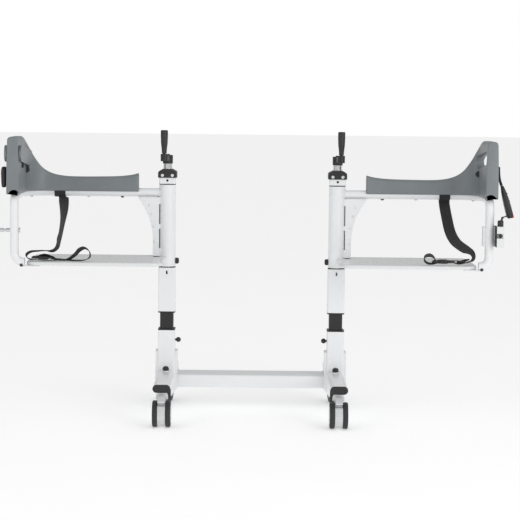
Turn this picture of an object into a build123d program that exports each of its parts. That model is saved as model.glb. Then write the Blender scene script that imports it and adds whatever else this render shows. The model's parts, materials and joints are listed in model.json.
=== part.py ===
"""Sit to stand lift: a transfer chair whose two seat halves swing out on crank-raised columns.

Millimetres.  +Z is up, +X is to the right seen from behind, +Y is the chair's front.
Everything is drawn with z = 0 on the floor and y = 0 at the column axes, and is moved when
it is written, so that the origin of the files is the centre of the crossbar's top face.
Both halves stand open, 90 degrees out from the closed seat.  Each side piece is drawn for the right-hand side,
with its own x counted outwards from the column axis, and the left one is its mirror image.
"""
from build123d import *
import math
import os

# ---- driving dimensions -------------------------------------------------------------
COLUMN_X = 250.0            # column axis from the middle of the chair
COLUMN_WIDTH = 50.0
COLUMN_WALL = 2.5
COLUMN_FOOT_Z = 68.0
LOWER_COLUMN_TOP_Z = 241.5
COLLAR_FLANGE = 4.0
COLLAR_SKIRT = 22.0
EXTENSION_GAP = 48.0        # black profile that shows between the two collars
MIDDLE_WIDTH = 39.0
MIDDLE_FOOT_Z = 97.0
MIDDLE_TOP_Z = 403.0
UPPER_SQUARE_TOP_Z = 427.0
POST_RADIUS = 20.0
POST_BORE = 17.5
SLEEVE_FOOT_Z = 430.0
SLEEVE_TOP_Z = 671.0
SLEEVE_RADIUS = 24.5
SLEEVE_BORE = 22.05
BUSH_RADIUS = 22.0
BUSH_LENGTH = 24.0
LOW_BUSH_LENGTH = 11.0      # short, so that it ends below the swing lock's pin
BLOCK_FOOT_Z = 674.0
BLOCK_TOP_Z = 692.0
CAP_WIDTH = 55.0
CAP_TOP_Z = 717.0
SHAFT_RADIUS = 9.0
SCREW_RADIUS = 7.0
HOLLOW_SCREW_RADIUS = 11.0
RUNNING_GAP = 0.05
SPLINE_RADIUS = 13.0
SPLINE_GROOVES = 10
CRANK_THROW = 70.0
CRANK_TOE_OUT = 6.0         # degrees that each crank arm points outwards
COLUMN_KNOB_Z = 211.0
CAP_SCREW_Z = 699.0
CAP_SCREW_X = 14.5
HUB_FOOT_Z = 733.0
HUB_TOP_Z = 758.0
BOSS_FOOT_Z = 742.0
BOSS_TOP_Z = 763.0
GRIP_FOOT_Z = 764.0
GRIP_TOP_Z = 832.0
GRIP_PIN_RADIUS = 4.0

ARM_Z = 647.0               # centre of the arm tube
TUBE_RADIUS = 12.5
TUBE_WALL = 1.8
ARM_REACH = 421.0           # column axis to the upright of the arm tube
UPRIGHT_Y = -235.0
ARM_CORNER_RADIUS = 79.0
UPRIGHT_BEND_RADIUS = 30.0
RAIL_Z = 459.0
RAIL_BEND_RADIUS = 25.0
RAIL_END = 392.0
PARTING_Y = -247.0          # no half passes this plane, except the latch case

SHELL_FOOT_Z = 650.0
SHELL_RIM_Z = 693.0
SHELL_TOP_Z = 812.0
SHELL_WALL = 34.0
SHELL_START = 85.0
SHELL_REACH = 442.0
SHELL_CORNER_RADIUS = 100.0
HAND_HOLD_Y = -152.0
HAND_HOLD_Z = 758.0
HAND_HOLD_LENGTH = 178.0
HAND_HOLD_HEIGHT = 35.0
HAND_HOLD_LEAN = 5.0        # degrees

SEAT_TOP_Z = 460.0
SEAT_THICKNESS = 10.0
SEAT_START = 2.0
SEAT_END = 389.0
SEAT_FRONT_Y = 18.0
SEAT_CORNER_RADIUS = 35.0
GUSSET_HALF_DEPTH = 16.0
GUSSET_FOOT_Z = SEAT_TOP_Z + 0.5
GUSSET_TOP_Z = ARM_Z - TUBE_RADIUS - 0.5
SWING_LOCK_Z = 446.0

BUCKLE_TILT = 16.0
BUCKLE_TOP = (SHELL_REACH + 14.0, -219.0, 686.0)
BUCKLE_LENGTH = 92.0
LATCH_Z = 549.0
LATCH_PIN_RADIUS = 5.5
LATCH_CASE_START = 437.0
LATCH_CASE_END = 457.0
LATCH_CASE_FOOT_Z = 517.0
LATCH_CASE_TOP_Z = 576.0
LATCH_CASE_Y = (-276.0, -226.0)
LATCHED_PIN_Y = -2 * COLUMN_X - UPRIGHT_Y   # where the closed left pin stands in the right half
BLADE_START = 446.0
BLADE_END = 449.0

LEG_WIDTH = 50.0
LEG_HEIGHT = 23.0
LEG_FOOT_Z = 100.0
LEG_REAR_Y = -303.0
LEG_WALL = 2.0
FRONT_LEG_FOOT_Z = 106.0
FRONT_SWIVEL_Y = 192.0      # far enough ahead for the wheel to swing behind the stem
REAR_SWIVEL_Y = -262.0
CROSSBAR_FOOT_Z = 68.0
CROSSBAR_TOP_Z = 106.0
CROSSBAR_DEPTH = 100.0
BRACKET_WALL = 7.0
BRACKET_FOOT_Z = 66.0
BRACKET_TOP_Z = 179.0
GUSSET_FOOT_WIDTH = 18.0      # triangular foot gusset under each bracket, on its inner side
GUSSET_FOOT_DROP = 21.0
GUSSET_FOOT_THICK = 6.0

REAR_WHEEL_RADIUS = 37.5
REAR_WHEEL_WIDTH = 14.5
REAR_BODY_WIDTH = 22.0
REAR_WHEEL_Y = -283.0
FRONT_WHEEL_RADIUS = 50.0
FRONT_WHEEL_WIDTH = 27.0
FRONT_TRAIL = 34.0
FRONT_CASTER_TURN = 4.0     # degrees from straight back that each front wheel stands turned out
AXLE_RADIUS = 4.0
BRAKE_PIVOT = (REAR_WHEEL_Y - 1.0, 86.0)

UPPER_COLUMN_FOOT_Z = LOWER_COLUMN_TOP_Z + COLLAR_FLANGE + EXTENSION_GAP + COLLAR_FLANGE
COLUMN_INSIDE = COLUMN_WIDTH - 2 * COLUMN_WALL
HALF_COLUMN = COLUMN_WIDTH / 2


# ---- helpers ------------------------------------------------------------------------
def block(x0, x1, y0, y1, z0, z1):
    """A box between two opposite corners."""
    centre = Pos((x0 + x1) / 2, (y0 + y1) / 2, (z0 + z1) / 2)
    return centre * Box(x1 - x0, y1 - y0, z1 - z0)


def rod_z(x, y, z0, z1, radius):
    """An upright cylinder."""
    return Pos(x, y, (z0 + z1) / 2) * Cylinder(radius, z1 - z0)


def rod_x(x0, x1, y, z, radius):
    """A cylinder along X."""
    return Pos((x0 + x1) / 2, y, z) * Rot(0, 90, 0) * Cylinder(radius, x1 - x0)


def rod_y(y0, y1, x, z, radius):
    """A cylinder along Y."""
    return Pos(x, (y0 + y1) / 2, z) * Rot(90, 0, 0) * Cylinder(radius, y1 - y0)


def square_tube(width, bore, z0, z1):
    """An upright square tube round the column axis."""
    outside = extrude(Pos(0, 0, z0) * RectangleRounded(width, width, 4), z1 - z0)
    return outside - extrude(Pos(0, 0, z0) * Rectangle(bore, bore), z1 - z0)


def turned(profile):
    """The solid of revolution of (radius, z) points about the Z axis."""
    face = make_face(Plane.XZ * Polyline(*profile, close=True))
    return revolve(face, Axis.Z)


def at_column(piece):
    """A right-hand piece, moved from the column axis to its place."""
    return Pos(COLUMN_X, 0, 0) * piece


def on_side(piece, side):
    """The piece on the right-hand side, or its mirror image on the left."""
    placed = at_column(piece)
    return placed if side == "right" else mirror(placed, about=Plane.YZ)


def both_sides(*pieces):
    """One group of the pieces and their mirror images."""
    placed = [at_column(piece) for piece in pieces]
    return Compound(children=placed + [mirror(piece, about=Plane.YZ) for piece in placed])


# ---- base ---------------------------------------------------------------------------
def base_crossbar():
    """The rectangular tube that joins the two brackets."""
    length = 2 * (COLUMN_X - HALF_COLUMN - BRACKET_WALL)
    height = CROSSBAR_TOP_Z - CROSSBAR_FOOT_Z
    centre = Plane(
        (-length / 2, CROSSBAR_DEPTH / 2, (CROSSBAR_FOOT_Z + CROSSBAR_TOP_Z) / 2),
        x_dir=(0, 1, 0),
        z_dir=(1, 0, 0),
    )
    outside = centre * RectangleRounded(CROSSBAR_DEPTH, height, 5)
    inside = centre * RectangleRounded(CROSSBAR_DEPTH - 5, height - 5, 2.5)
    return extrude(outside - inside, length)


def oval_tube(y0, y1, foot_z):
    """A flat-oval tube along Y."""
    start = Plane((0, y0, foot_z + LEG_HEIGHT / 2), x_dir=(1, 0, 0), z_dir=(0, 1, 0))
    outside = start * SlotOverall(LEG_WIDTH, LEG_HEIGHT)
    inside = start * SlotOverall(LEG_WIDTH - 2 * LEG_WALL, LEG_HEIGHT - 2 * LEG_WALL)
    return extrude(outside - inside, y1 - y0)


def rear_leg():
    """The leg tube behind the column, with the socket for the caster stem."""
    tube = oval_tube(LEG_REAR_Y, -HALF_COLUMN, LEG_FOOT_Z)
    socket = rod_z(0, REAR_SWIVEL_Y, LEG_FOOT_Z, LEG_FOOT_Z + LEG_HEIGHT - 1, 12)
    bolt_post = rod_z(0, -52, LEG_FOOT_Z + 1, LEG_FOOT_Z + LEG_HEIGHT + 3, 8)
    stem_hole = rod_z(0, REAR_SWIVEL_Y, LEG_FOOT_Z - 1, LEG_FOOT_Z + 18, 5.5 + RUNNING_GAP)
    return tube + socket + bolt_post - stem_hole


def front_leg():
    """The short tube in front of the bracket, with the upright sleeve of the front caster."""
    tube = oval_tube(HALF_COLUMN + BRACKET_WALL, FRONT_SWIVEL_Y, FRONT_LEG_FOOT_Z)
    sleeve_top = FRONT_LEG_FOOT_Z + 44
    tube -= rod_z(0, FRONT_SWIVEL_Y, 0, sleeve_top, 23)
    sleeve = rod_z(0, FRONT_SWIVEL_Y, FRONT_LEG_FOOT_Z, sleeve_top, 23)
    stem_hole = rod_z(0, FRONT_SWIVEL_Y, FRONT_LEG_FOOT_Z - 1, sleeve_top - 6, 10 + RUNNING_GAP)
    return tube + sleeve - stem_hole


def leg_tubes():
    return both_sides(rear_leg(), front_leg())


def column_bracket():
    """A bent plate: two flanks beside the column and a web across its front."""
    outline = Polyline(
        (-20, BRACKET_FOOT_Z),
        (CROSSBAR_DEPTH + 3, BRACKET_FOOT_Z),
        (CROSSBAR_DEPTH + 3, 128),
        (HALF_COLUMN + BRACKET_WALL, 145),
        (HALF_COLUMN + BRACKET_WALL, BRACKET_TOP_Z),
        (-20, BRACKET_TOP_Z),
        close=True,
    )
    half_width = HALF_COLUMN + BRACKET_WALL
    plane = Plane((-half_width, 0, 0), x_dir=(0, 1, 0), z_dir=(1, 0, 0))
    solid = extrude(plane * make_face(outline), 2 * half_width)
    solid -= block(-HALF_COLUMN, HALF_COLUMN, -60, HALF_COLUMN, 0, 300)
    solid -= block(-HALF_COLUMN, HALF_COLUMN, HALF_COLUMN + BRACKET_WALL, 200, 0, 300)
    gusset = Polyline(
        (-half_width, BRACKET_FOOT_Z),
        (GUSSET_FOOT_WIDTH - half_width, BRACKET_FOOT_Z),
        (GUSSET_FOOT_WIDTH - half_width, BRACKET_FOOT_Z - GUSSET_FOOT_DROP),
        close=True,
    )
    rear = Plane((0, GUSSET_FOOT_THICK - 20, 0), x_dir=(1, 0, 0), z_dir=(0, -1, 0))
    plate = extrude(rear * make_face(gusset), GUSSET_FOOT_THICK)
    rail = block(-half_width, GUSSET_FOOT_WIDTH - half_width, -20, GUSSET_FOOT_THICK - 20,
                 BRACKET_FOOT_Z, BRACKET_FOOT_Z + 2)
    return solid + plate + rail


def column_brackets():
    return both_sides(column_bracket())


def lower_column():
    """The standing square tube, closed at its foot, with a hole for the locking knob."""
    tube = square_tube(COLUMN_WIDTH, COLUMN_INSIDE, COLUMN_FOOT_Z, LOWER_COLUMN_TOP_Z)
    foot = block(-23, 23, -23, 23, COLUMN_FOOT_Z, COLUMN_FOOT_Z + 3)
    knob_hole = rod_x(-HALF_COLUMN - 1, -20, 0, COLUMN_KNOB_Z, 3 + RUNNING_GAP)
    return tube + foot - knob_hole


def lower_columns():
    return both_sides(lower_column())


def end_cap():
    """The plug that closes a leg tube behind."""
    face = Plane((0, LEG_REAR_Y, LEG_FOOT_Z + LEG_HEIGHT / 2), x_dir=(1, 0, 0), z_dir=(0, -1, 0))
    flange = extrude(face * SlotOverall(LEG_WIDTH, LEG_HEIGHT), 5)
    flange = fillet(flange.edges().group_by(Axis.Y)[0], 2.5)
    plug = extrude(face * SlotOverall(LEG_WIDTH - 4.4, LEG_HEIGHT - 4.4), -14)
    return flange + plug


def bolt_cap():
    """The domed cap of the bolt on top of the leg."""
    seat_z = LEG_FOOT_Z + LEG_HEIGHT + 3
    return Pos(0, -52, 0) * turned([(0, seat_z), (9.5, seat_z), (9.5, seat_z + 6),
                                    (7, seat_z + 11), (0, seat_z + 13)])


def leg_end_caps():
    return both_sides(end_cap(), bolt_cap())


def guide_collar(flange_z, skirt_z0, skirt_z1):
    """A plastic guide: a flange across the tube end and a skirt inside the tube."""
    flange_foot = min(flange_z, flange_z + COLLAR_FLANGE)
    flange = extrude(Pos(0, 0, flange_foot) * RectangleRounded(COLUMN_WIDTH, COLUMN_WIDTH, 4), COLLAR_FLANGE)
    skirt = block(-22.4, 22.4, -22.4, 22.4, skirt_z0, skirt_z1)
    bore = MIDDLE_WIDTH / 2 + RUNNING_GAP
    return flange + skirt - block(-bore, bore, -bore, bore, 0, 500)


def lower_guide_collars():
    top = LOWER_COLUMN_TOP_Z
    return both_sides(guide_collar(top, top - COLLAR_SKIRT, top))


def lift_nut():
    """The long nut that stands on the column foot and carries the hollow screw."""
    foot_z = COLUMN_FOOT_Z + 3
    nut = rod_z(0, 0, foot_z, foot_z + 144, 15)
    return nut - rod_z(0, 0, foot_z - 1, foot_z + 145, HOLLOW_SCREW_RADIUS + RUNNING_GAP)


def lift_nuts():
    return both_sides(lift_nut())


def column_knob():
    """The ball knob on the inner face that clamps the telescoping profile."""
    screw = rod_x(-HALF_COLUMN - 8, -MIDDLE_WIDTH / 2 - 0.5, 0, COLUMN_KNOB_Z, 3)
    ball = Pos(-HALF_COLUMN - 9.5, 0, COLUMN_KNOB_Z) * Sphere(7.5)
    return ball + screw


# ---- telescoping column ---------------------------------------------------------------
def middle_profile():
    """The black square profile with the hollow screw welded to its top plate."""
    tube = square_tube(MIDDLE_WIDTH, 34, MIDDLE_FOOT_Z, MIDDLE_TOP_Z)
    top = block(-17.5, 17.5, -17.5, 17.5, MIDDLE_TOP_Z - 6, MIDDLE_TOP_Z)
    screw = rod_z(0, 0, MIDDLE_FOOT_Z, MIDDLE_TOP_Z - 6, HOLLOW_SCREW_RADIUS)
    bore = rod_z(0, 0, MIDDLE_FOOT_Z - 1, MIDDLE_TOP_Z - 6, SCREW_RADIUS + 0.6)
    thread = rod_z(0, 0, MIDDLE_TOP_Z - 7, MIDDLE_TOP_Z + 1, SCREW_RADIUS + RUNNING_GAP)
    return tube + top + screw - bore - thread


def upper_column():
    """Square tube below, round swing post above, square block on top."""
    square = square_tube(COLUMN_WIDTH, COLUMN_INSIDE, UPPER_COLUMN_FOOT_Z, UPPER_SQUARE_TOP_Z)
    ceiling = block(-23, 23, -23, 23, UPPER_SQUARE_TOP_Z - 6, UPPER_SQUARE_TOP_Z)
    post = rod_z(0, 0, UPPER_SQUARE_TOP_Z, BLOCK_FOOT_Z, POST_RADIUS)
    top = extrude(Pos(0, 0, BLOCK_FOOT_Z) * RectangleRounded(48, 48, 4), BLOCK_TOP_Z - BLOCK_FOOT_Z)
    hollow = rod_z(0, 0, UPPER_SQUARE_TOP_Z - 7, BLOCK_FOOT_Z, POST_BORE)
    shaft_hole = rod_z(0, 0, BLOCK_FOOT_Z - 1, BLOCK_TOP_Z + 1, SHAFT_RADIUS + RUNNING_GAP)
    set_screw_hole = rod_y(-25, -15, 0, BLOCK_FOOT_Z + 10, 3.5)
    sight_slot = block(-2.5, 2.5, -26, -20, UPPER_SQUARE_TOP_Z - 19, UPPER_SQUARE_TOP_Z - 9)
    return square + ceiling + post + top - hollow - shaft_hole - set_screw_hole - sight_slot


def swing_bush(flange_z0, flange_z1, skirt_z0, skirt_z1):
    """A flanged bush pressed on the post, inside one end of the sleeve."""
    bush = rod_z(0, 0, skirt_z0, skirt_z1, BUSH_RADIUS) + rod_z(0, 0, flange_z0, flange_z1, SLEEVE_RADIUS)
    return bush - rod_z(0, 0, skirt_z0 - 5, skirt_z1 + 5, POST_RADIUS)


def column_bushes(side):
    """Two swing bushes, and the guide collar at the foot of the upper column."""
    clear = 0.1
    low = swing_bush(UPPER_SQUARE_TOP_Z, SLEEVE_FOOT_Z - clear,
                     SLEEVE_FOOT_Z - 1, SLEEVE_FOOT_Z + LOW_BUSH_LENGTH)
    high = swing_bush(SLEEVE_TOP_Z + clear, BLOCK_FOOT_Z,
                      SLEEVE_TOP_Z - BUSH_LENGTH, SLEEVE_TOP_Z + 1)
    foot = UPPER_COLUMN_FOOT_Z
    collar = guide_collar(foot - COLLAR_FLANGE, foot, foot + COLLAR_SKIRT)
    return Compound(children=[on_side(piece, side) for piece in (low, high, collar)])


def column_cap():
    """The black cap with sloping shoulders, with two screws in its rear face."""
    half = CAP_WIDTH / 2
    outline = Polyline(
        (-half, BLOCK_TOP_Z),
        (half, BLOCK_TOP_Z),
        (half, CAP_TOP_Z - 9),
        (half - 3, CAP_TOP_Z - 6),
        (13.5, CAP_TOP_Z),
        (-13.5, CAP_TOP_Z),
        (3 - half, CAP_TOP_Z - 6),
        (-half, CAP_TOP_Z - 9),
        close=True,
    )
    plane = Plane((0, half, 0), x_dir=(1, 0, 0), z_dir=(0, -1, 0))
    cap = extrude(plane * make_face(outline), CAP_WIDTH)
    cap = fillet(cap.edges().filter_by(Axis.Z), 4)
    cap -= rod_z(0, 0, BLOCK_TOP_Z - 1, CAP_TOP_Z + 1, SHAFT_RADIUS + RUNNING_GAP)
    for x in (-CAP_SCREW_X, CAP_SCREW_X):
        cap -= rod_y(-half - 1, -half + 12, x, CAP_SCREW_Z, 2.5)
    return cap


def column_screws():
    """The two cap screws, with flat round heads."""
    half = CAP_WIDTH / 2
    pieces = []
    for x in (-CAP_SCREW_X, CAP_SCREW_X):
        head = rod_y(-half - 2.5, -half, x, CAP_SCREW_Z, 4.7)
        head = fillet(head.edges().group_by(Axis.Y)[0], 1.2)
        head -= rod_y(-half - 3, -half - 1, x, CAP_SCREW_Z, 2)
        pieces.append(head + rod_y(-half - 1, -half + 11, x, CAP_SCREW_Z, 2.5))
    return pieces


def lead_screw():
    """The cranked shaft: splined sleeve and bearing journal on top, screw below."""
    foot_z = 310.0
    journal = rod_z(0, 0, BLOCK_FOOT_Z - 7, HUB_TOP_Z - 4, SHAFT_RADIUS)
    collar = rod_z(0, 0, BLOCK_FOOT_Z - 6.2, BLOCK_FOOT_Z - 0.2, 14)
    screw = rod_z(0, 0, foot_z, BLOCK_FOOT_Z - 6, SCREW_RADIUS)
    sleeve = rod_z(0, 0, CAP_TOP_Z + 0.2, HUB_FOOT_Z, SPLINE_RADIUS)
    for i in range(SPLINE_GROOVES):
        angle = 2 * math.pi * i / SPLINE_GROOVES
        sleeve -= rod_z(SPLINE_RADIUS * math.cos(angle), SPLINE_RADIUS * math.sin(angle),
                        CAP_TOP_Z + 2.5, HUB_FOOT_Z + 1, 1.6)
    return journal + collar + screw + sleeve


# ---- crank ----------------------------------------------------------------------------
def crank_direction():
    """Unit vector of the crank arm, from the shaft to the grip."""
    turn = math.radians(CRANK_TOE_OUT)
    return math.sin(turn), -math.cos(turn)


def crank_end():
    x, y = crank_direction()
    return x * CRANK_THROW, y * CRANK_THROW


def crank_arm():
    """Hub, arm, end boss and the pin that the grip turns on."""
    x, y = crank_end()
    hub = rod_z(0, 0, HUB_FOOT_Z, HUB_TOP_Z, 15)
    hub = fillet(hub.edges(), 1.5)
    boss = fillet(rod_z(x, y, BOSS_FOOT_Z, BOSS_TOP_Z, 10.5).edges(), 1.2)
    bar = Pos(x / 2, y / 2, (BOSS_FOOT_Z + HUB_TOP_Z) / 2) * Rot(0, 0, CRANK_TOE_OUT)
    bar = bar * Box(16, CRANK_THROW, HUB_TOP_Z - BOSS_FOOT_Z - 2)
    pin = rod_z(x, y, BOSS_TOP_Z - 1, GRIP_TOP_Z - 12, GRIP_PIN_RADIUS)
    shaft_hole = rod_z(0, 0, HUB_FOOT_Z - 1, HUB_TOP_Z - 4, SHAFT_RADIUS)
    return hub + boss + bar + pin - shaft_hole


def crank_grip():
    """The turning grip, thicker at its top, with finger flutes all round."""
    x, y = crank_end()
    grip = turned([
        (0, GRIP_FOOT_Z),
        (6, GRIP_FOOT_Z),
        (7.2, GRIP_FOOT_Z + 1.5),
        (7.5, GRIP_FOOT_Z + 10),
        (9.8, GRIP_FOOT_Z + 30),
        (10.6, GRIP_FOOT_Z + 50),
        (10.6, GRIP_TOP_Z - 3),
        (9, GRIP_TOP_Z),
        (0, GRIP_TOP_Z),
    ])
    flutes = 8
    for i in range(flutes):
        angle = 2 * math.pi * i / flutes
        grip -= rod_z(12.2 * math.cos(angle), 12.2 * math.sin(angle),
                      GRIP_FOOT_Z + 22, GRIP_TOP_Z - 6, 2.4)
    grip -= rod_z(0, 0, GRIP_FOOT_Z - 1, GRIP_TOP_Z - 11, GRIP_PIN_RADIUS + RUNNING_GAP)
    return Pos(x, y, 0) * grip


# ---- swinging half --------------------------------------------------------------------
def gusset_outline():
    """The side outline of the gusset, from the arm tube down to the seat."""
    edge = ThreePointArc((85, GUSSET_TOP_Z - 4), (54, 575), (42, 510))
    return make_face([
        edge,
        Line((42, 510), (42, GUSSET_FOOT_Z)),
        Line((42, GUSSET_FOOT_Z), (12, GUSSET_FOOT_Z)),
        Line((12, GUSSET_FOOT_Z), (12, GUSSET_TOP_Z)),
        Line((12, GUSSET_TOP_Z), (85, GUSSET_TOP_Z)),
        Line((85, GUSSET_TOP_Z), (85, GUSSET_TOP_Z - 4)),
    ])


def gusset():
    """A hollow folded gusset with two relief slots at its weld to the sleeve."""
    wall = 2.5
    depth = GUSSET_HALF_DEPTH
    outline = Plane.XZ * gusset_outline()
    inner = Plane.XZ * offset(gusset_outline(), -wall)
    body = extrude(outline, depth, both=True) - extrude(inner, depth - wall, both=True)
    for z0, z1 in ((484, 541), (555, 614)):
        body -= block(10, 24, -depth - 1, depth + 1, z0, z1)
    for x, z in ((37, 503), (39, 548), (46, 584), (52, 610)):
        for face_y in (-depth, depth):
            rivet = Pos(x, face_y, z) * Sphere(3.2)
            body += rivet
    return body


def swing_sleeve():
    """The sleeve that turns on the post, with its gusset."""
    sleeve = rod_z(0, 0, SLEEVE_FOOT_Z, SLEEVE_TOP_Z, SLEEVE_RADIUS)
    bore = rod_z(0, 0, SLEEVE_FOOT_Z - 1, SLEEVE_TOP_Z + 1, SLEEVE_BORE)
    lock_hole = rod_x(-SLEEVE_RADIUS - 5, 0, 0, SWING_LOCK_Z, 3 + RUNNING_GAP)
    return sleeve + gusset() - bore - lock_hole


def arm_path(straight_back=False):
    """Centre line of the arm tube; straight_back runs it past the parting plane instead."""
    corner = ARM_CORNER_RADIUS
    drop = UPRIGHT_BEND_RADIUS
    foot = RAIL_BEND_RADIUS
    mid = 1 - math.sqrt(0.5)
    arm = Line((0, 0, ARM_Z), (ARM_REACH - corner, 0, ARM_Z))
    round_corner = ThreePointArc(
        (ARM_REACH - corner, 0, ARM_Z),
        (ARM_REACH - mid * corner, -mid * corner, ARM_Z),
        (ARM_REACH, -corner, ARM_Z),
    )
    if straight_back:
        return arm + round_corner + Line((ARM_REACH, -corner, ARM_Z), (ARM_REACH, PARTING_Y - 5, ARM_Z))
    back = Line((ARM_REACH, -corner, ARM_Z), (ARM_REACH, UPRIGHT_Y + drop, ARM_Z))
    bend_down = ThreePointArc(
        (ARM_REACH, UPRIGHT_Y + drop, ARM_Z),
        (ARM_REACH, UPRIGHT_Y + mid * drop, ARM_Z - mid * drop),
        (ARM_REACH, UPRIGHT_Y, ARM_Z - drop),
    )
    upright = Line((ARM_REACH, UPRIGHT_Y, ARM_Z - drop), (ARM_REACH, UPRIGHT_Y, RAIL_Z + foot))
    bend_in = ThreePointArc(
        (ARM_REACH, UPRIGHT_Y, RAIL_Z + foot),
        (ARM_REACH - mid * foot, UPRIGHT_Y, RAIL_Z + mid * foot),
        (ARM_REACH - foot, UPRIGHT_Y, RAIL_Z),
    )
    rail = Line((ARM_REACH - foot, UPRIGHT_Y, RAIL_Z), (RAIL_END, UPRIGHT_Y, RAIL_Z))
    return arm + round_corner + back + bend_down + upright + bend_in + rail


def swept_tube(path, radius):
    """A round bar along the path."""
    start = Plane(path @ 0, z_dir=path % 0)
    return sweep(start * Circle(radius), path=path)


def arm_tube(side):
    """The bent tube: arm, corner, upright, short rail and the tongue welded below the seat's corner."""
    path = arm_path()
    tube = swept_tube(path, TUBE_RADIUS) - swept_tube(path, TUBE_RADIUS - TUBE_WALL)
    tube -= rod_z(0, 0, SLEEVE_FOOT_Z, SLEEVE_TOP_Z, SLEEVE_RADIUS)
    end_plug = rod_x(RAIL_END, RAIL_END + 12, UPRIGHT_Y, RAIL_Z, TUBE_RADIUS - 0.5)
    tongue = block(RAIL_END - 42, RAIL_END + 6, UPRIGHT_Y - 10, UPRIGHT_Y + 12,
                   SEAT_TOP_Z - SEAT_THICKNESS - 3.5, SEAT_TOP_Z - SEAT_THICKNESS - 0.1)
    tube += end_plug + tongue
    if side == "left":
        tube -= rod_x(ARM_REACH - 20, ARM_REACH + 20, UPRIGHT_Y, LATCH_Z, LATCH_PIN_RADIUS)
    return tube


def shell_plan():
    """The wall seen from above: arm, round corner, half back."""
    centre_x = SHELL_REACH - SHELL_CORNER_RADIUS
    centre_y = SHELL_WALL / 2 - SHELL_CORNER_RADIUS
    arm = Pos((SHELL_START + centre_x) / 2, 0) * Rectangle(centre_x - SHELL_START, SHELL_WALL)
    ring = Circle(SHELL_CORNER_RADIUS) - Circle(SHELL_CORNER_RADIUS - SHELL_WALL)
    quarter = Rectangle(SHELL_CORNER_RADIUS, SHELL_CORNER_RADIUS, align=(Align.MIN, Align.MIN))
    corner = Pos(centre_x, centre_y) * (ring & quarter)
    back_length = centre_y - PARTING_Y
    back = Pos(SHELL_REACH - SHELL_WALL / 2, PARTING_Y + back_length / 2)
    return arm + corner + back * Rectangle(SHELL_WALL, back_length)


def shell_side():
    """The wall seen from behind: low arm, S-shaped rise, high back."""
    rim = Spline(
        [
            (SHELL_START - 1, SHELL_RIM_Z + 10),
            (SHELL_START + 56, SHELL_RIM_Z + 1),
            (250, SHELL_RIM_Z - 1),
            (322, SHELL_RIM_Z + 3),
            (353, 709),
            (367, 722),
            (384, 749),
            (400, 784),
            (SHELL_REACH - 26, SHELL_TOP_Z),
        ],
        tangents=[(1, -0.25), (1, 0)],
    )
    start = (SHELL_START - 1, SHELL_FOOT_Z)
    end = (SHELL_REACH + 1, SHELL_FOOT_Z)
    top = (SHELL_REACH + 1, SHELL_TOP_Z)
    return make_face([
        rim,
        Line(rim @ 1, top),
        Line(top, end),
        Line(end, start),
        Line(start, rim @ 0),
    ])


def hand_hold():
    """The slanted slot through the back wall."""
    plane = Plane((SHELL_REACH - 60, HAND_HOLD_Y, HAND_HOLD_Z), x_dir=(0, -1, 0), z_dir=(1, 0, 0))
    return extrude(plane * Rot(0, 0, HAND_HOLD_LEAN) * SlotOverall(HAND_HOLD_LENGTH, HAND_HOLD_HEIGHT), 90)


def arm_shell():
    """The moulded armrest and half back, over the upper half of the tube."""
    height = SHELL_TOP_Z - SHELL_FOOT_Z
    wall = extrude(Pos(0, 0, SHELL_FOOT_Z) * shell_plan(), height)
    side = extrude(Plane.XZ * shell_side(), 300, both=True)
    shell = wall & side
    shell -= swept_tube(arm_path(straight_back=True), TUBE_RADIUS + 0.1)
    return shell - hand_hold()


def seat_plate():
    """Half of the seat, notched round the sleeve."""
    middle_x = (SEAT_START + SEAT_END) / 2
    middle_y = (PARTING_Y + SEAT_FRONT_Y) / 2
    foot_z = SEAT_TOP_Z - SEAT_THICKNESS
    outline = Pos(middle_x, middle_y, foot_z) * RectangleRounded(
        SEAT_END - SEAT_START, SEAT_FRONT_Y - PARTING_Y, SEAT_CORNER_RADIUS
    )
    plate = extrude(outline, SEAT_THICKNESS)
    plate = fillet(plate.edges().group_by(Axis.Z)[-1], 3)
    plate -= rod_z(0, 0, foot_z - 1, SEAT_TOP_Z + 1, SLEEVE_RADIUS + 0.1)
    return plate


def frame_screws():
    """Two shell screws under the arm tube, and the screw at the seat's outer corner."""
    pieces = []
    for x, y in ((133, 0), (ARM_REACH, -188)):
        head_top = ARM_Z - TUBE_RADIUS - 0.1
        pieces.append(Pos(x, y, 0) * turned([(0, head_top), (0, head_top - 4), (2.5, head_top - 3.6),
                                             (5, head_top - 1.5), (5, head_top)]))
    rear_y = UPRIGHT_Y - TUBE_RADIUS
    pieces.append(rod_y(PARTING_Y - 1, rear_y - 0.05, RAIL_END + 8, RAIL_Z - 8, 4.5))
    return pieces


def swing_lock(side):
    """The sprung pull knob on the sleeve, opposite the arm."""
    face = -SLEEVE_RADIUS - 0.3
    pin = rod_x(face - 8, -POST_RADIUS - 0.4, 0, SWING_LOCK_Z, 3)
    knob = rod_x(face - 10, face, 0, SWING_LOCK_Z, 9)
    knob = fillet(knob.edges().group_by(Axis.X)[0], 5)
    return on_side(knob + pin, side)


# ---- belts ----------------------------------------------------------------------------
def lap_belt():
    """A webbing strap from the arm tube down to the pile that lies on the seat."""
    top_z = ARM_Z - TUBE_RADIUS - 2
    foot_z = SEAT_TOP_Z + 4
    upper = Plane((316, -2, top_z)) * Rectangle(32, 2.5)
    middle = Plane((322, -80, 548)) * Rectangle(28, 2.5)
    lower = Plane((352, -222, foot_z)) * Rectangle(20, 2.5)
    band = loft([upper, middle, lower], ruled=True)
    pile = block(264, 375, -238, -206, SEAT_TOP_Z + 0.5, SEAT_TOP_Z + 11)
    return band + pile


def lap_buckle():
    """The side-release buckle at the end of the lap strap."""
    body = block(206, 262, -238, -206, SEAT_TOP_Z + 1, SEAT_TOP_Z + 12)
    return fillet(body.edges().filter_by(Axis.Z), 5)


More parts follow.
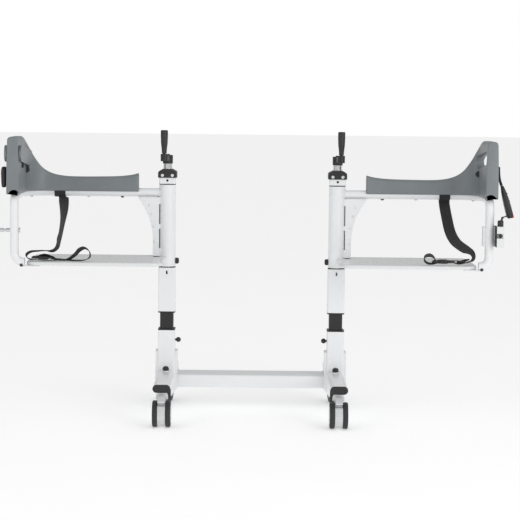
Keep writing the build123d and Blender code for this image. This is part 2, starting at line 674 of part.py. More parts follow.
def left_back_belt():
    """The tongue end of the back belt, folded against the back of the left shell."""
    webbing = block(SHELL_REACH + 0.5, SHELL_REACH + 4, -236, -200, 676, 735)
    tongue = block(SHELL_REACH + 4, SHELL_REACH + 16, -238, -198, 668, 726)
    return fillet(tongue.edges().filter_by(Axis.X), 5) + webbing


def right_back_belt():
    """The webbing that holds the buckle to the back of the right shell."""
    hang = block(SHELL_REACH + 0.5, SHELL_REACH + 3.5, -234, -204, 684, 735)
    return hang


def in_buckle(piece):
    """Place a piece drawn round the buckle's own axis, hanging from its top end."""
    return Pos(*BUCKLE_TOP) * Rot(0, -BUCKLE_TILT, 0) * piece


def belt_buckle():
    """The belt buckle: a flat shell that hangs down, with its mouth at the lower end."""
    shell = block(-9, 9, -16, 16, -BUCKLE_LENGTH, 0)
    shell = fillet(shell.edges().filter_by(Axis.Z), 6)
    shell -= block(1.4, 9.5, -10.1, 10.1, -BUCKLE_LENGTH - 1, -BUCKLE_LENGTH + 18.1)
    return in_buckle(shell)


def belt_button():
    """The red release button in the buckle's lower end."""
    button = block(1.5, 9, -10, 10, -BUCKLE_LENGTH - 1.5, -BUCKLE_LENGTH + 14)
    return in_buckle(button)


# ---- latch ----------------------------------------------------------------------------
def latch_pin():
    """The pin through the left upright, with a neck that the latch blade straddles."""
    tip = ARM_REACH + TUBE_RADIUS + 31
    pin = rod_x(ARM_REACH - TUBE_RADIUS - 1, tip, UPRIGHT_Y, LATCH_Z, LATCH_PIN_RADIUS)
    pin = chamfer(pin.edges().group_by(Axis.X)[-1], 2)
    head = rod_x(ARM_REACH - TUBE_RADIUS - 4, ARM_REACH - TUBE_RADIUS - 1, UPRIGHT_Y, LATCH_Z, 7)
    neck = rod_x(BLADE_START - 1, BLADE_END + 1, UPRIGHT_Y, LATCH_Z, LATCH_PIN_RADIUS + 1)
    core = rod_x(BLADE_START - 2, BLADE_END + 2, UPRIGHT_Y, LATCH_Z, 3.4)
    return (pin + head) - (neck - core)


def latch_case():
    """The latch housing on the right upright, with the saddle that clamps it to the tube."""
    y0, y1 = LATCH_CASE_Y
    case = block(LATCH_CASE_START, LATCH_CASE_END, y0, y1, LATCH_CASE_FOOT_Z, LATCH_CASE_TOP_Z)
    case = fillet(case.edges().filter_by(Axis.X), 3)
    saddle = block(ARM_REACH - 19, LATCH_CASE_START + 1, UPRIGHT_Y - 5, UPRIGHT_Y + 15,
                   LATCH_CASE_FOOT_Z, LATCH_CASE_TOP_Z - 4)
    saddle -= rod_z(ARM_REACH, UPRIGHT_Y, 400, 640, TUBE_RADIUS)
    mouth = LATCH_PIN_RADIUS + 1.2
    case -= block(430, 460, y0 - 1, LATCHED_PIN_Y, LATCH_Z - mouth, LATCH_Z + mouth)
    case -= rod_x(430, 460, LATCHED_PIN_Y, LATCH_Z, mouth)
    case -= block(BLADE_START - 0.2, BLADE_END + 0.2, y0 + 1, y0 + 22, LATCH_Z - 12, LATCH_CASE_TOP_Z + 1)
    return case + saddle


def latch_bolt():
    """The forked blade and the pull knob above the case."""
    y0 = LATCHED_PIN_Y - 9
    y1 = LATCHED_PIN_Y + 9
    blade = block(BLADE_START, BLADE_END, y0, y1, LATCH_Z - 7, LATCH_CASE_TOP_Z + 3)
    blade -= block(BLADE_START - 1, BLADE_END + 1, LATCHED_PIN_Y - 3.7, LATCHED_PIN_Y + 3.7,
                   LATCH_Z - 10, LATCH_Z)
    blade -= rod_x(BLADE_START - 1, BLADE_END + 1, LATCHED_PIN_Y, LATCH_Z, 3.7)
    middle_x = (BLADE_START + BLADE_END) / 2
    knob = rod_z(middle_x, LATCHED_PIN_Y, LATCH_CASE_TOP_Z + 0.5, LATCH_CASE_TOP_Z + 17, 8.5)
    knob = fillet(knob.edges().group_by(Axis.Z)[-1], 4)
    return knob + blade


# ---- casters --------------------------------------------------------------------------
def rear_caster_body():
    """Stem, neck and the round centre plate between the two wheels, with the axle."""
    wheel = (REAR_WHEEL_Y, REAR_WHEEL_RADIUS)
    stem = rod_z(0, REAR_SWIVEL_Y, 92, LEG_FOOT_Z + 17, 5.5)
    neck = Pos(0, REAR_SWIVEL_Y, 0) * turned([(0, 76), (17, 76), (17, 84), (13, 97), (0, 97)])
    half = REAR_BODY_WIDTH / 2
    plate = rod_x(-half, half, wheel[0], wheel[1], REAR_WHEEL_RADIUS - 3)
    bridge = block(-half, half, REAR_WHEEL_Y - 6, REAR_SWIVEL_Y + 12, 50, 80)
    reach = REAR_BODY_WIDTH / 2 + REAR_WHEEL_WIDTH + 0.3
    axle = rod_x(-reach, reach, wheel[0], wheel[1], AXLE_RADIUS)
    pedal_room = block(-half - 1, half + 1, REAR_WHEEL_Y - 60, REAR_WHEEL_Y - 6.5, 62, 90)
    return stem + neck + plate + bridge - pedal_room + axle


def rear_wheels():
    """The two wheels of one rear caster."""
    inner = REAR_BODY_WIDTH / 2 + 0.4
    pieces = []
    for sign in (-1, 1):
        x0, x1 = sorted((sign * inner, sign * (inner + REAR_WHEEL_WIDTH)))
        wheel = rod_x(x0, x1, REAR_WHEEL_Y, REAR_WHEEL_RADIUS, REAR_WHEEL_RADIUS)
        wheel = fillet(wheel.edges().filter_by(GeomType.CIRCLE), 3.5)
        wheel -= rod_x(x0 - 1, x1 + 1, REAR_WHEEL_Y, REAR_WHEEL_RADIUS, AXLE_RADIUS + RUNNING_GAP)
        pieces.append(wheel)
    return pieces


def rear_brake():
    """The foot pedal that lies behind the neck, above the wheels."""
    pivot_y, pivot_z = BRAKE_PIVOT
    outline = Polyline(
        (pivot_y + 4, pivot_z - 4),
        (pivot_y + 4, pivot_z + 4),
        (pivot_y - 14, pivot_z + 3),
        (pivot_y - 34, pivot_z - 9),
        (pivot_y - 34, pivot_z - 13),
        (pivot_y - 12, pivot_z - 5),
        close=True,
    )
    plane = Plane((-10, 0, 0), x_dir=(0, 1, 0), z_dir=(1, 0, 0))
    pedal = extrude(plane * make_face(outline), 20)
    barrel = rod_x(-10, 10, pivot_y, pivot_z, 5)
    return pedal + barrel - rod_x(-11, 11, pivot_y, pivot_z, 2)


def in_front_caster(piece):
    """Place a piece drawn with the wheel on +Y of the swivel axis; it trails behind, turned out."""
    return Pos(0, FRONT_SWIVEL_Y, 0) * Rot(0, 0, FRONT_CASTER_TURN - 180) * piece


def front_fork():
    """Stem, crown, two fork legs and the axle."""
    inside = FRONT_WHEEL_WIDTH / 2 + 1.5
    outside = inside + 3
    hub_z = FRONT_WHEEL_RADIUS
    crown_top = FRONT_LEG_FOOT_Z - 0.5
    stem = rod_z(0, 0, crown_top - 1, FRONT_LEG_FOOT_Z + 36, 10)
    crown = block(-outside, outside, -20, FRONT_TRAIL + 8, crown_top - 4, crown_top)
    side = Plane((-outside, 0, 0), x_dir=(0, 1, 0), z_dir=(1, 0, 0))
    leg = make_face(Polyline(
        (-20, crown_top),
        (-20, crown_top - 14),
        (FRONT_TRAIL - 22, hub_z - 12),
        (FRONT_TRAIL - 12, hub_z - 22),
        (FRONT_TRAIL + 12, hub_z - 22),
        (FRONT_TRAIL + 22, hub_z - 8),
        (FRONT_TRAIL + 8, crown_top),
        close=True,
    ))
    legs = extrude(side * leg, 2 * outside)
    legs -= block(-inside, inside, -60, 120, 0, crown_top - 4)
    axle = rod_x(-outside - 2, outside + 2, FRONT_TRAIL, hub_z, AXLE_RADIUS)
    return in_front_caster(stem + crown + legs + axle)


def front_tyre():
    """The rubber tread of the front wheel."""
    half = FRONT_WHEEL_WIDTH / 2
    tyre = rod_x(-half, half, FRONT_TRAIL, FRONT_WHEEL_RADIUS, FRONT_WHEEL_RADIUS)
    tyre = fillet(tyre.edges().filter_by(GeomType.CIRCLE), 6)
    tyre -= rod_x(-half - 1, half + 1, FRONT_TRAIL, FRONT_WHEEL_RADIUS, 36)
    return in_front_caster(tyre)


def front_hub():
    """The hub inside the tread, running on the axle."""
    half = FRONT_WHEEL_WIDTH / 2
    centre = (FRONT_TRAIL, FRONT_WHEEL_RADIUS)
    hub = rod_x(-half + 1, half - 1, *centre, 36)
    hub -= rod_x(-half, -5, *centre, 31) - rod_x(-half, -5, *centre, 11)
    hub -= rod_x(5, half, *centre, 31) - rod_x(5, half, *centre, 11)
    hub -= rod_x(-half, half, *centre, AXLE_RADIUS + RUNNING_GAP)
    return in_front_caster(hub)


# ---- writing the files ------------------------------------------------------------------
def group(pieces, side):
    """One node from several separate solids."""
    return Compound(children=[on_side(piece, side) for piece in pieces])


def write(name, shape):
    """Export one sub-part with the origin at the centre of the crossbar's top face."""
    moved = Pos(0, -CROSSBAR_DEPTH / 2, -CROSSBAR_TOP_Z) * shape
    export_step(moved, os.path.join("parts", name + ".step"))


SIDE_PIECES = {
    "column_knob": column_knob,
    "middle_profile": middle_profile,
    "upper_column": upper_column,
    "column_cap": column_cap,
    "lead_screw": lead_screw,
    "crank_arm": crank_arm,
    "crank_grip": crank_grip,
    "swing_sleeve": swing_sleeve,
    "arm_shell": arm_shell,
    "seat_plate": seat_plate,
    "lap_belt": lap_belt,
    "lap_buckle": lap_buckle,
    "rear_caster_body": rear_caster_body,
    "rear_brake": rear_brake,
    "front_fork": front_fork,
    "front_tyre": front_tyre,
    "front_hub": front_hub,
}
SIDE_GROUPS = {
    "column_screws": column_screws,
    "frame_screws": frame_screws,
    "rear_wheels": rear_wheels,
}
BASE_PIECES = {
    "base_crossbar": base_crossbar,
    "leg_tubes": leg_tubes,
    "column_brackets": column_brackets,
    "lower_columns": lower_columns,
    "leg_end_caps": leg_end_caps,
    "lower_guide_collars": lower_guide_collars,
    "lift_nuts": lift_nuts,
}
RIGHT_PIECES = {
    "right_back_belt": right_back_belt,
    "belt_buckle": belt_buckle,
    "belt_button": belt_button,
    "latch_case": latch_case,
    "latch_bolt": latch_bolt,
}
LEFT_PIECES = {
    "left_back_belt": left_back_belt,
    "latch_pin": latch_pin,
}


def main():
    os.makedirs("parts", exist_ok=True)
    for name, make in BASE_PIECES.items():
        write(name, make())
    for name, make in SIDE_PIECES.items():
        right_piece = make()
        for side in ("left", "right"):
            write(f"{side}_{name}", on_side(right_piece, side))
    for name, make in SIDE_GROUPS.items():
        pieces = make()
        for side in ("left", "right"):
            write(f"{side}_{name}", group(pieces, side))
    for side in ("left", "right"):
        write(f"{side}_column_bushes", column_bushes(side))
        write(f"{side}_arm_tube", on_side(arm_tube(side), side))
        write(f"{side}_swing_lock", swing_lock(side))
    for name, make in RIGHT_PIECES.items():
        write(name, on_side(make(), "right"))
    for name, make in LEFT_PIECES.items():
        write(name, on_side(make(), "left"))


main()
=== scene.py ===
import json
import math

import bmesh
import bpy
from mathutils import Matrix, Vector

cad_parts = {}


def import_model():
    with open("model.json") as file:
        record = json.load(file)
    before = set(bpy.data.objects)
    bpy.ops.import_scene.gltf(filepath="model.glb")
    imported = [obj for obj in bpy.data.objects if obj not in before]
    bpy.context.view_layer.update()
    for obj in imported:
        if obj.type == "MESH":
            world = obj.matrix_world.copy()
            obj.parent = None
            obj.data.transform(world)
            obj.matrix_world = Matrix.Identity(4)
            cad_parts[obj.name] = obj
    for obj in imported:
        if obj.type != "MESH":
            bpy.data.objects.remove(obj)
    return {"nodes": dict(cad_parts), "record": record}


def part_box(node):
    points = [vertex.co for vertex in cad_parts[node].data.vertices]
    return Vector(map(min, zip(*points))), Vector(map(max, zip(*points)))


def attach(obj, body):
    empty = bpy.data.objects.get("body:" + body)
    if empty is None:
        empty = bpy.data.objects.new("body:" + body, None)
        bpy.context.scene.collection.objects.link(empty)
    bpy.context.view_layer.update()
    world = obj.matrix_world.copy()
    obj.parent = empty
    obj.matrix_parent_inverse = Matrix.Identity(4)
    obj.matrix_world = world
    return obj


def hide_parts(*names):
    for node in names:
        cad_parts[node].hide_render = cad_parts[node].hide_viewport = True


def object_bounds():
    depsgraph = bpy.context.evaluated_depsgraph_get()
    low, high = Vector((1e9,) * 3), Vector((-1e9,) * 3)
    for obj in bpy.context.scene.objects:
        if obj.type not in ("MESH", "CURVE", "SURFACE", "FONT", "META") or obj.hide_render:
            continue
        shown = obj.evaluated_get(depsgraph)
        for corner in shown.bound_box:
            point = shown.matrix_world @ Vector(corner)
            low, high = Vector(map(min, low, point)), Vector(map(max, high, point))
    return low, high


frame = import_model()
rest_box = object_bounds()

# Design millimetres: x from the middle, y from the column axes, z from the floor.
# D is the distance outwards from a column axis; the left side is the mirror image.
MM = 0.001
COLUMN_X = 250.0
FLOOR_Z = rest_box[0].z
AXIS_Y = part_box("base_crossbar")[0].y
ORIGIN = Vector((0.0, AXIS_Y, FLOOR_Z))
SIDES = (("left", -1), ("right", 1))
ARM_Z = 647.0
TUBE_R = 12.5
PARTING_Y = -247.0


def world(point):
    """Design millimetres to metres in the row frame."""
    return ORIGIN + Vector(point) * MM


def outward(sign, d, y, z):
    """The design point at distance d out from the column axis."""
    return Vector((sign * (COLUMN_X + d), y, z))


# ---- node materials -----------------------------------------------------------------
def add_node(tree, kind, settings=None, values=None):
    made = tree.nodes.new(kind)
    for key, value in (settings or {}).items():
        setattr(made, key, value)
    for key, value in (values or {}).items():
        made.inputs[key].default_value = value
    return made


def join(tree, out_socket, in_socket):
    tree.links.new(out_socket, in_socket)
    return out_socket


def math_node(tree, operation, a, b=None, clamp=False):
    made = add_node(tree, "ShaderNodeMath", {"operation": operation, "use_clamp": clamp})
    for index, value in enumerate((a, b)):
        if value is None:
            continue
        if isinstance(value, (int, float)):
            made.inputs[index].default_value = value
        else:
            tree.links.new(value, made.inputs[index])
    return made.outputs[0]


def mix_colour(tree, factor, low, high):
    made = add_node(tree, "ShaderNodeMix", {"data_type": "RGBA"})
    for index, value in ((0, factor), (6, low), (7, high)):
        if isinstance(value, (int, float)):
            made.inputs[index].default_value = value
        elif isinstance(value, tuple):
            made.inputs[index].default_value = (*value, 1.0)
        else:
            tree.links.new(value, made.inputs[index])
    return made.outputs[2]


def ramp(tree, source, low, high, out_low=0.0, out_high=1.0):
    made = add_node(tree, "ShaderNodeMapRange", {"clamp": True})
    tree.links.new(source, made.inputs[0])
    for index, value in enumerate((low, high, out_low, out_high)):
        made.inputs[index + 1].default_value = value
    return made.outputs[0]


def noise(tree, vector, scale, detail=2.0, rough=0.5):
    made = add_node(tree, "ShaderNodeTexNoise", None,
                    {"Scale": scale, "Detail": detail, "Roughness": rough})
    tree.links.new(vector, made.inputs["Vector"])
    return made.outputs[0]


def bump(tree, height, distance, strength=1.0, normal=None):
    made = add_node(tree, "ShaderNodeBump", None, {"Strength": strength, "Distance": distance})
    tree.links.new(height, made.inputs["Height"])
    if normal is not None:
        tree.links.new(normal, made.inputs["Normal"])
    return made.outputs[0]


def edge_mask(tree, radius):
    """1 on convex and concave edges, 0 on faces, with the rounded normal."""
    bevel = add_node(tree, "ShaderNodeBevel", {"samples": 4}, {"Radius": radius})
    geometry = add_node(tree, "ShaderNodeNewGeometry")
    dot = add_node(tree, "ShaderNodeVectorMath", {"operation": "DOT_PRODUCT"})
    tree.links.new(bevel.outputs[0], dot.inputs[0])
    tree.links.new(geometry.outputs["Normal"], dot.inputs[1])
    return ramp(tree, dot.outputs["Value"], 1.0, 0.80), bevel.outputs[0]


def start_material(name):
    mat = bpy.data.materials.new(name)
    mat.use_nodes = True
    tree = mat.node_tree
    tree.nodes.clear()
    out = tree.nodes.new("ShaderNodeOutputMaterial")
    shader = tree.nodes.new("ShaderNodeBsdfPrincipled")
    tree.links.new(shader.outputs[0], out.inputs[0])
    return mat, tree, shader


def finish_material(name, colour, rough, metallic=0.0, coat=0.0, grain=700.0, depth=0.00012,
                    blotch=0.04, rough_spread=0.08, edge=0.0008, wear=None, streak=None):
    """A solid finish: surface grain, cloudy tone, uneven roughness, softened worn edges."""
    mat, tree, shader = start_material(name)
    place = add_node(tree, "ShaderNodeTexCoord").outputs["Object"]
    if streak:
        mapping = add_node(tree, "ShaderNodeMapping")
        mapping.inputs["Scale"].default_value = streak
        tree.links.new(place, mapping.inputs[0])
        fine_place = mapping.outputs[0]
    else:
        fine_place = place
    cloud = noise(tree, place, 9.0, 4.0)
    dust = noise(tree, place, 95.0, 6.0, 0.7)
    tone = math_node(tree, "ADD", math_node(tree, "MULTIPLY", cloud, 0.7),
                     math_node(tree, "MULTIPLY", dust, 0.3))
    low = tuple(max(0.0, c * (1.0 - blotch)) for c in colour)
    high = tuple(min(1.0, c * (1.0 + blotch)) for c in colour)
    tint = mix_colour(tree, ramp(tree, tone, 0.35, 0.65), low, high)
    mask, rounded = edge_mask(tree, edge)
    if wear:
        broken = math_node(tree, "MULTIPLY", mask, ramp(tree, dust, 0.42, 0.60))
        tint = mix_colour(tree, broken, tint, wear)
    join(tree, tint, shader.inputs["Base Color"])
    spread = ramp(tree, noise(tree, place, 38.0, 5.0, 0.65), 0.3, 0.7,
                  rough - rough_spread, rough + rough_spread)
    join(tree, spread, shader.inputs["Roughness"])
    height = noise(tree, fine_place, grain, 2.0)
    join(tree, bump(tree, height, depth, 0.6, rounded), shader.inputs["Normal"])
    shader.inputs["Metallic"].default_value = metallic
    shader.inputs["Coat Weight"].default_value = coat
    shader.inputs["Coat Roughness"].default_value = 0.12
    return mat


def moulded_material(name, colour, rough, cell=900.0, coat=0.15):
    """Moulded shell plastic with a pebbled grain, and a painted highlight: its edges are coloured lighter."""
    mat, tree, shader = start_material(name)
    place = add_node(tree, "ShaderNodeTexCoord").outputs["Object"]
    cells = add_node(tree, "ShaderNodeTexVoronoi", {"feature": "SMOOTH_F1"}, {"Scale": cell})
    tree.links.new(place, cells.inputs["Vector"])
    cloud = noise(tree, place, 7.0, 5.0, 0.6)
    rubbed = noise(tree, place, 45.0, 6.0, 0.7)
    low = tuple(c * 0.93 for c in colour)
    high = tuple(min(1.0, c * 1.07) for c in colour)
    tint = mix_colour(tree, ramp(tree, cloud, 0.35, 0.65), low, high)
    mask, rounded = edge_mask(tree, 0.0012)
    # painted highlight: convex and concave edges are mixed towards a lighter grey
    tint = mix_colour(tree, math_node(tree, "MULTIPLY", mask, 0.35), tint,
                      tuple(min(1.0, c * 1.5) for c in colour))
    join(tree, tint, shader.inputs["Base Color"])
    join(tree, ramp(tree, rubbed, 0.3, 0.7, rough - 0.07, rough + 0.09), shader.inputs["Roughness"])
    pebble = bump(tree, cells.outputs["Distance"], 0.00018, 0.5, rounded)
    join(tree, bump(tree, noise(tree, place, 14.0, 2.0), 0.0015, 0.12, pebble), shader.inputs["Normal"])
    shader.inputs["Coat Weight"].default_value = coat
    shader.inputs["Coat Roughness"].default_value = 0.25
    return mat


def webbing_material(name, colour=(0.012, 0.012, 0.014)):
    """Woven strap: chevron ribs from the strap's own UVs in metres, with flat selvedges."""
    mat, tree, shader = start_material(name)
    uv = add_node(tree, "ShaderNodeUVMap", {"uv_map": "strap"}).outputs[0]
    split = add_node(tree, "ShaderNodeSeparateXYZ")
    tree.links.new(uv, split.inputs[0])
    across, along = split.outputs[0], split.outputs[1]
    fold = math_node(tree, "PINGPONG", across, 0.0042)
    slant = math_node(tree, "ADD", along, math_node(tree, "MULTIPLY", fold, 0.9))
    rib = math_node(tree, "SINE", math_node(tree, "MULTIPLY", slant, 2 * math.pi / 0.0016))
    thread = math_node(tree, "SINE", math_node(tree, "MULTIPLY", across, 2 * math.pi / 0.0011))
    weave = math_node(tree, "ADD", math_node(tree, "MULTIPLY", rib, 0.6),
                      math_node(tree, "MULTIPLY", thread, 0.4))
    fuzz = noise(tree, uv, 2600.0, 3.0)
    height = math_node(tree, "ADD", weave, math_node(tree, "MULTIPLY", fuzz, 0.7))
    # painted shade and highlight: the colour follows the weave's height, darker in the low threads and
    # lighter on the raised ribs; the fuzz adds random tone
    low = tuple(c * 0.45 for c in colour)
    high = tuple(c * 2.2 for c in colour)
    join(tree, mix_colour(tree, ramp(tree, height, -0.7, 1.3), low, high), shader.inputs["Base Color"])
    join(tree, bump(tree, height, 0.00035, 0.9), shader.inputs["Normal"])
    join(tree, ramp(tree, fuzz, 0.3, 0.7, 0.62, 0.85), shader.inputs["Roughness"])
    shader.inputs["Sheen Weight"].default_value = 0.08
    return mat


def tyre_material(name, dust_height):
    """Matt black rubber with patches of dust from noise, and fine moulding grain."""
    mat, tree, shader = start_material(name)
    place = add_node(tree, "ShaderNodeTexCoord").outputs["Object"]
    dust = noise(tree, place, 120.0, 6.0, 0.7)
    cloud = noise(tree, place, 30.0, 3.0)
    tint = mix_colour(tree, ramp(tree, dust, 0.35, 0.75), (0.012, 0.012, 0.013), (0.034, 0.034, 0.036))
    join(tree, tint, shader.inputs["Base Color"])
    join(tree, ramp(tree, cloud, 0.3, 0.7, 0.42, 0.66), shader.inputs["Roughness"])
    _, rounded = edge_mask(tree, 0.001)
    height = math_node(tree, "ADD", noise(tree, place, 1500.0, 3.0),
                       math_node(tree, "MULTIPLY", dust, dust_height))
    join(tree, bump(tree, height, 0.0002, 0.7, rounded), shader.inputs["Normal"])
    return mat


def glossy_sheet_material(name, colour):
    """The seat's smooth moulded sheet: glossy, with hairline scratches and faint waviness."""
    mat, tree, shader = start_material(name)
    place = add_node(tree, "ShaderNodeTexCoord").outputs["Object"]
    mapping = add_node(tree, "ShaderNodeMapping")
    mapping.inputs["Scale"].default_value = (1.0, 14.0, 1.0)
    mapping.inputs["Rotation"].default_value = (0.0, 0.0, 0.4)
    tree.links.new(place, mapping.inputs[0])
    scratch = noise(tree, mapping.outputs[0], 90.0, 8.0, 0.75)
    cloud = noise(tree, place, 6.0, 3.0)
    low = tuple(c * 0.96 for c in colour)
    join(tree, mix_colour(tree, cloud, low, colour), shader.inputs["Base Color"])
    join(tree, ramp(tree, scratch, 0.45, 0.75, 0.20, 0.42), shader.inputs["Roughness"])
    _, rounded = edge_mask(tree, 0.001)
    wave = bump(tree, cloud, 0.004, 0.10, rounded)
    join(tree, bump(tree, scratch, 0.0001, 0.4, wave), shader.inputs["Normal"])
    shader.inputs["Coat Weight"].default_value = 0.35
    shader.inputs["Coat Roughness"].default_value = 0.08
    return mat


FINISHES = {
    "white_frame": ((0.80, 0.81, 0.82), 0.34, dict(coat=0.25, grain=520.0, depth=0.00016, blotch=0.015,
        edge=0.0012, wear=(0.70, 0.71, 0.72))),
    "black_profile": ((0.010, 0.010, 0.011), 0.42, dict(grain=620.0, blotch=0.25,
        wear=(0.05, 0.05, 0.052))),
    "black_plastic": ((0.011, 0.011, 0.012), 0.40, dict(grain=1100.0, blotch=0.3, rough_spread=0.1,
        wear=(0.045, 0.045, 0.047))),
    "black_grip": ((0.016, 0.016, 0.017), 0.36, dict(grain=1300.0, depth=0.0002, blotch=0.3,
        wear=(0.06, 0.06, 0.062))),
    "chrome_steel": ((0.62, 0.63, 0.64), 0.16, dict(metallic=1.0, grain=300.0, depth=0.00004,
        blotch=0.06, rough_spread=0.06, wear=(0.35, 0.34, 0.33), streak=(1.0, 1.0, 9.0))),
    "zinc_screws": ((0.70, 0.71, 0.72), 0.28, dict(metallic=1.0, grain=900.0, blotch=0.1, edge=0.0004,
        wear=(0.40, 0.39, 0.37))),
    "dark_screws": ((0.05, 0.05, 0.052), 0.35, dict(metallic=0.8, grain=900.0, blotch=0.3, edge=0.0004,
        wear=(0.25, 0.25, 0.26))),
    "brass_nut": ((0.62, 0.46, 0.20), 0.30, dict(metallic=1.0, grain=500.0, blotch=0.12,
        streak=(1.0, 1.0, 8.0))),
    "thread": ((0.020, 0.020, 0.022), 0.7, dict(grain=2600.0, depth=0.0003, blotch=0.4, edge=0.0002)),
    "caster_plastic": ((0.64, 0.65, 0.66), 0.44, dict(grain=1000.0, blotch=0.03,
        wear=(0.56, 0.57, 0.58))),
    "red_button": ((0.72, 0.035, 0.030), 0.32, dict(coat=0.4, grain=900.0, blotch=0.08,
        wear=(0.80, 0.20, 0.16))),
    "latch_plastic": ((0.74, 0.75, 0.76), 0.42, dict(grain=900.0, blotch=0.02,
        wear=(0.66, 0.67, 0.68))),
    "weld": ((0.78, 0.79, 0.80), 0.40, dict(coat=0.2, grain=420.0, depth=0.0005, blotch=0.04,
        edge=0.0004)),
}
MATERIALS = {
    name: finish_material(name, colour, rough, **more)
    for name, (colour, rough, more) in FINISHES.items()
}
MATERIALS.update({
    "grey_shell": moulded_material("grey_shell", (0.178, 0.198, 0.208), 0.42),
    "white_seat": glossy_sheet_material("white_seat", (0.74, 0.75, 0.76)),
    "webbing": webbing_material("webbing"),
    "tyre_rubber": tyre_material("tyre_rubber", 0.5),
})

SLOT_OF = {row["node"]: row["material_slot"] for row in frame["record"]["subparts"]}
for node_name, cad_object in frame["nodes"].items():
    cad_object.data.materials.clear()
    cad_object.data.materials.append(MATERIALS[SLOT_OF[node_name]])


# ---- mesh helpers -------------------------------------------------------------------
def piece(name, bm, material, body, replaces=(), sharp=38.0):
    """Turn a bmesh in design millimetres into a named piece that rides on a CAD body."""
    bmesh.ops.remove_doubles(bm, verts=bm.verts, dist=0.002)
    bmesh.ops.recalc_face_normals(bm, faces=bm.faces)
    mesh = bpy.data.meshes.new(name)
    for vert in bm.verts:
        vert.co = world(vert.co)
    bm.to_mesh(mesh)
    bm.free()
    mesh.shade_smooth()
    mesh.set_sharp_from_angle(angle=math.radians(sharp))
    mesh.materials.append(MATERIALS[material])
    made = bpy.data.objects.new(name, mesh)
    bpy.context.scene.collection.objects.link(made)
    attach(made, body)
    if replaces:
        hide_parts(*replaces)
    return made


def loft(bm, rings, close_ring=True, cap=True, uv=None):
    """Skin a list of equal rings of points; uv is a matching list of (u, v) rings."""
    layer = bm.loops.layers.uv.verify() if uv is None else bm.loops.layers.uv.get("strap")
    if layer is None:
        layer = bm.loops.layers.uv.new("strap")
    rows = [[bm.verts.new(p) for p in ring] for ring in rings]
    count = len(rows[0])
    span = count if close_ring else count - 1
    for i in range(len(rows) - 1):
        for j in range(span):
            k = (j + 1) % count
            face = bm.faces.new((rows[i][j], rows[i][k], rows[i + 1][k], rows[i + 1][j]))
            if uv is not None:
                marks = (uv[i][j], uv[i][j + 1], uv[i + 1][j + 1], uv[i + 1][j])
                for corner, mark in zip(face.loops, marks):
                    corner[layer].uv = mark
    if cap and close_ring:
        bm.faces.new(list(reversed(rows[0])))
        bm.faces.new(rows[-1])
    return rows


HERE = Matrix.Identity(4)


def add_block(bm, matrix, centre, size, bevel=1.0, segments=3):
    """A block with rounded edges, centred at a point of the matrix's frame."""
    part = bmesh.new()
    bmesh.ops.create_cube(part, size=1.0)
    bmesh.ops.scale(part, vec=Vector(size), verts=part.verts)
    bmesh.ops.bevel(part, geom=list(part.edges), offset=bevel, segments=segments,
                    profile=0.5, affect="EDGES", clamp_overlap=True)
    part.transform(matrix @ Matrix.Translation(centre))
    merge(bm, part)


def add_lathe(bm, matrix, profile, segments=40):
    """A turned shape from (radius, height) points about the matrix's Z axis."""
    part = bmesh.new()
    rings = []
    for radius, height in profile:
        rings.append([
            (radius * math.cos(2 * math.pi * i / segments),
             radius * math.sin(2 * math.pi * i / segments), height)
            for i in range(segments)
        ])
    loft(part, rings)
    bmesh.ops.remove_doubles(part, verts=part.verts, dist=0.001)
    part.transform(matrix)
    merge(bm, part)


def merge(bm, part):
    mesh = bpy.data.meshes.new("part")
    part.to_mesh(mesh)
    part.free()
    bm.from_mesh(mesh)
    bpy.data.meshes.remove(mesh)


def add_tube(bm, points, radius, segments=10, closed=False):
    """A round bar along the points; radius is a number or a function of the index."""
    points = [Vector(p) for p in points]
    count = len(points)
    normal = None
    rings = []
    for i, point in enumerate(points):
        before = points[i - 1] if i or closed else points[0]
        after = points[(i + 1) % count] if i < count - 1 or closed else points[-1]
        along = (after - before).normalized()
        if normal is None:
            normal = along.orthogonal().normalized()
        normal = (normal - along * normal.dot(along)).normalized()
        side = along.cross(normal)
        size = radius(i) if callable(radius) else radius
        rings.append([
            point + (normal * math.cos(2 * math.pi * k / segments)
                     + side * math.sin(2 * math.pi * k / segments)) * size
            for k in range(segments)
        ])
    part = bmesh.new()
    loft(part, rings, cap=not closed)
    if closed:
        part.verts.ensure_lookup_table()
        last = (count - 1) * segments
        twist = min(range(segments),
                    key=lambda s: (part.verts[last].co - part.verts[s].co).length)
        for k in range(segments):
            n = (k + 1) % segments
            part.faces.new((part.verts[last + k], part.verts[last + n],
                            part.verts[(n + twist) % segments], part.verts[(k + twist) % segments]))
    merge(bm, part)


def squarish_ring(place, half_a, half_b, level, count, power_a, power_b, shift=0.0):
    """Points of a rounded rectangle in place's XY plane at a height of level."""
    ring = []
    for i in range(count):
        a = 2 * math.pi * i / count
        ca, sa = math.cos(a), math.sin(a)
        ring.append(place @ Vector((shift + half_a * math.copysign(abs(ca) ** power_a, ca),
                                    half_b * math.copysign(abs(sa) ** power_b, sa), level)))
    return ring


def basis(origin, x_axis, y_axis, z_axis):
    rows = Matrix((Vector(x_axis), Vector(y_axis), Vector(z_axis))).transposed().to_4x4()
    return Matrix.Translation(Vector(origin)) @ rows


def smooth_curve(controls, per_span=8):
    """Points on a Catmull-Rom curve through control tuples of any length."""
    rows = [tuple(map(float, c)) for c in controls]
    rows = [tuple(2 * a - b for a, b in zip(rows[0], rows[1]))] + rows
    rows.append(tuple(2 * a - b for a, b in zip(rows[-1], rows[-2])))
    out = []
    for i in range(1, len(rows) - 2):
        p0, p1, p2, p3 = rows[i - 1:i + 3]
        for step in range(per_span):
            t = step / per_span
            out.append(tuple(
                0.5 * (2 * b + (c - a) * t + (2 * a - 5 * b + 4 * c - d) * t * t
                       + (3 * b - a - 3 * c + d) * t ** 3)
                for a, b, c, d in zip(p0, p1, p2, p3)
            ))
    out.append(rows[-2])
    return out


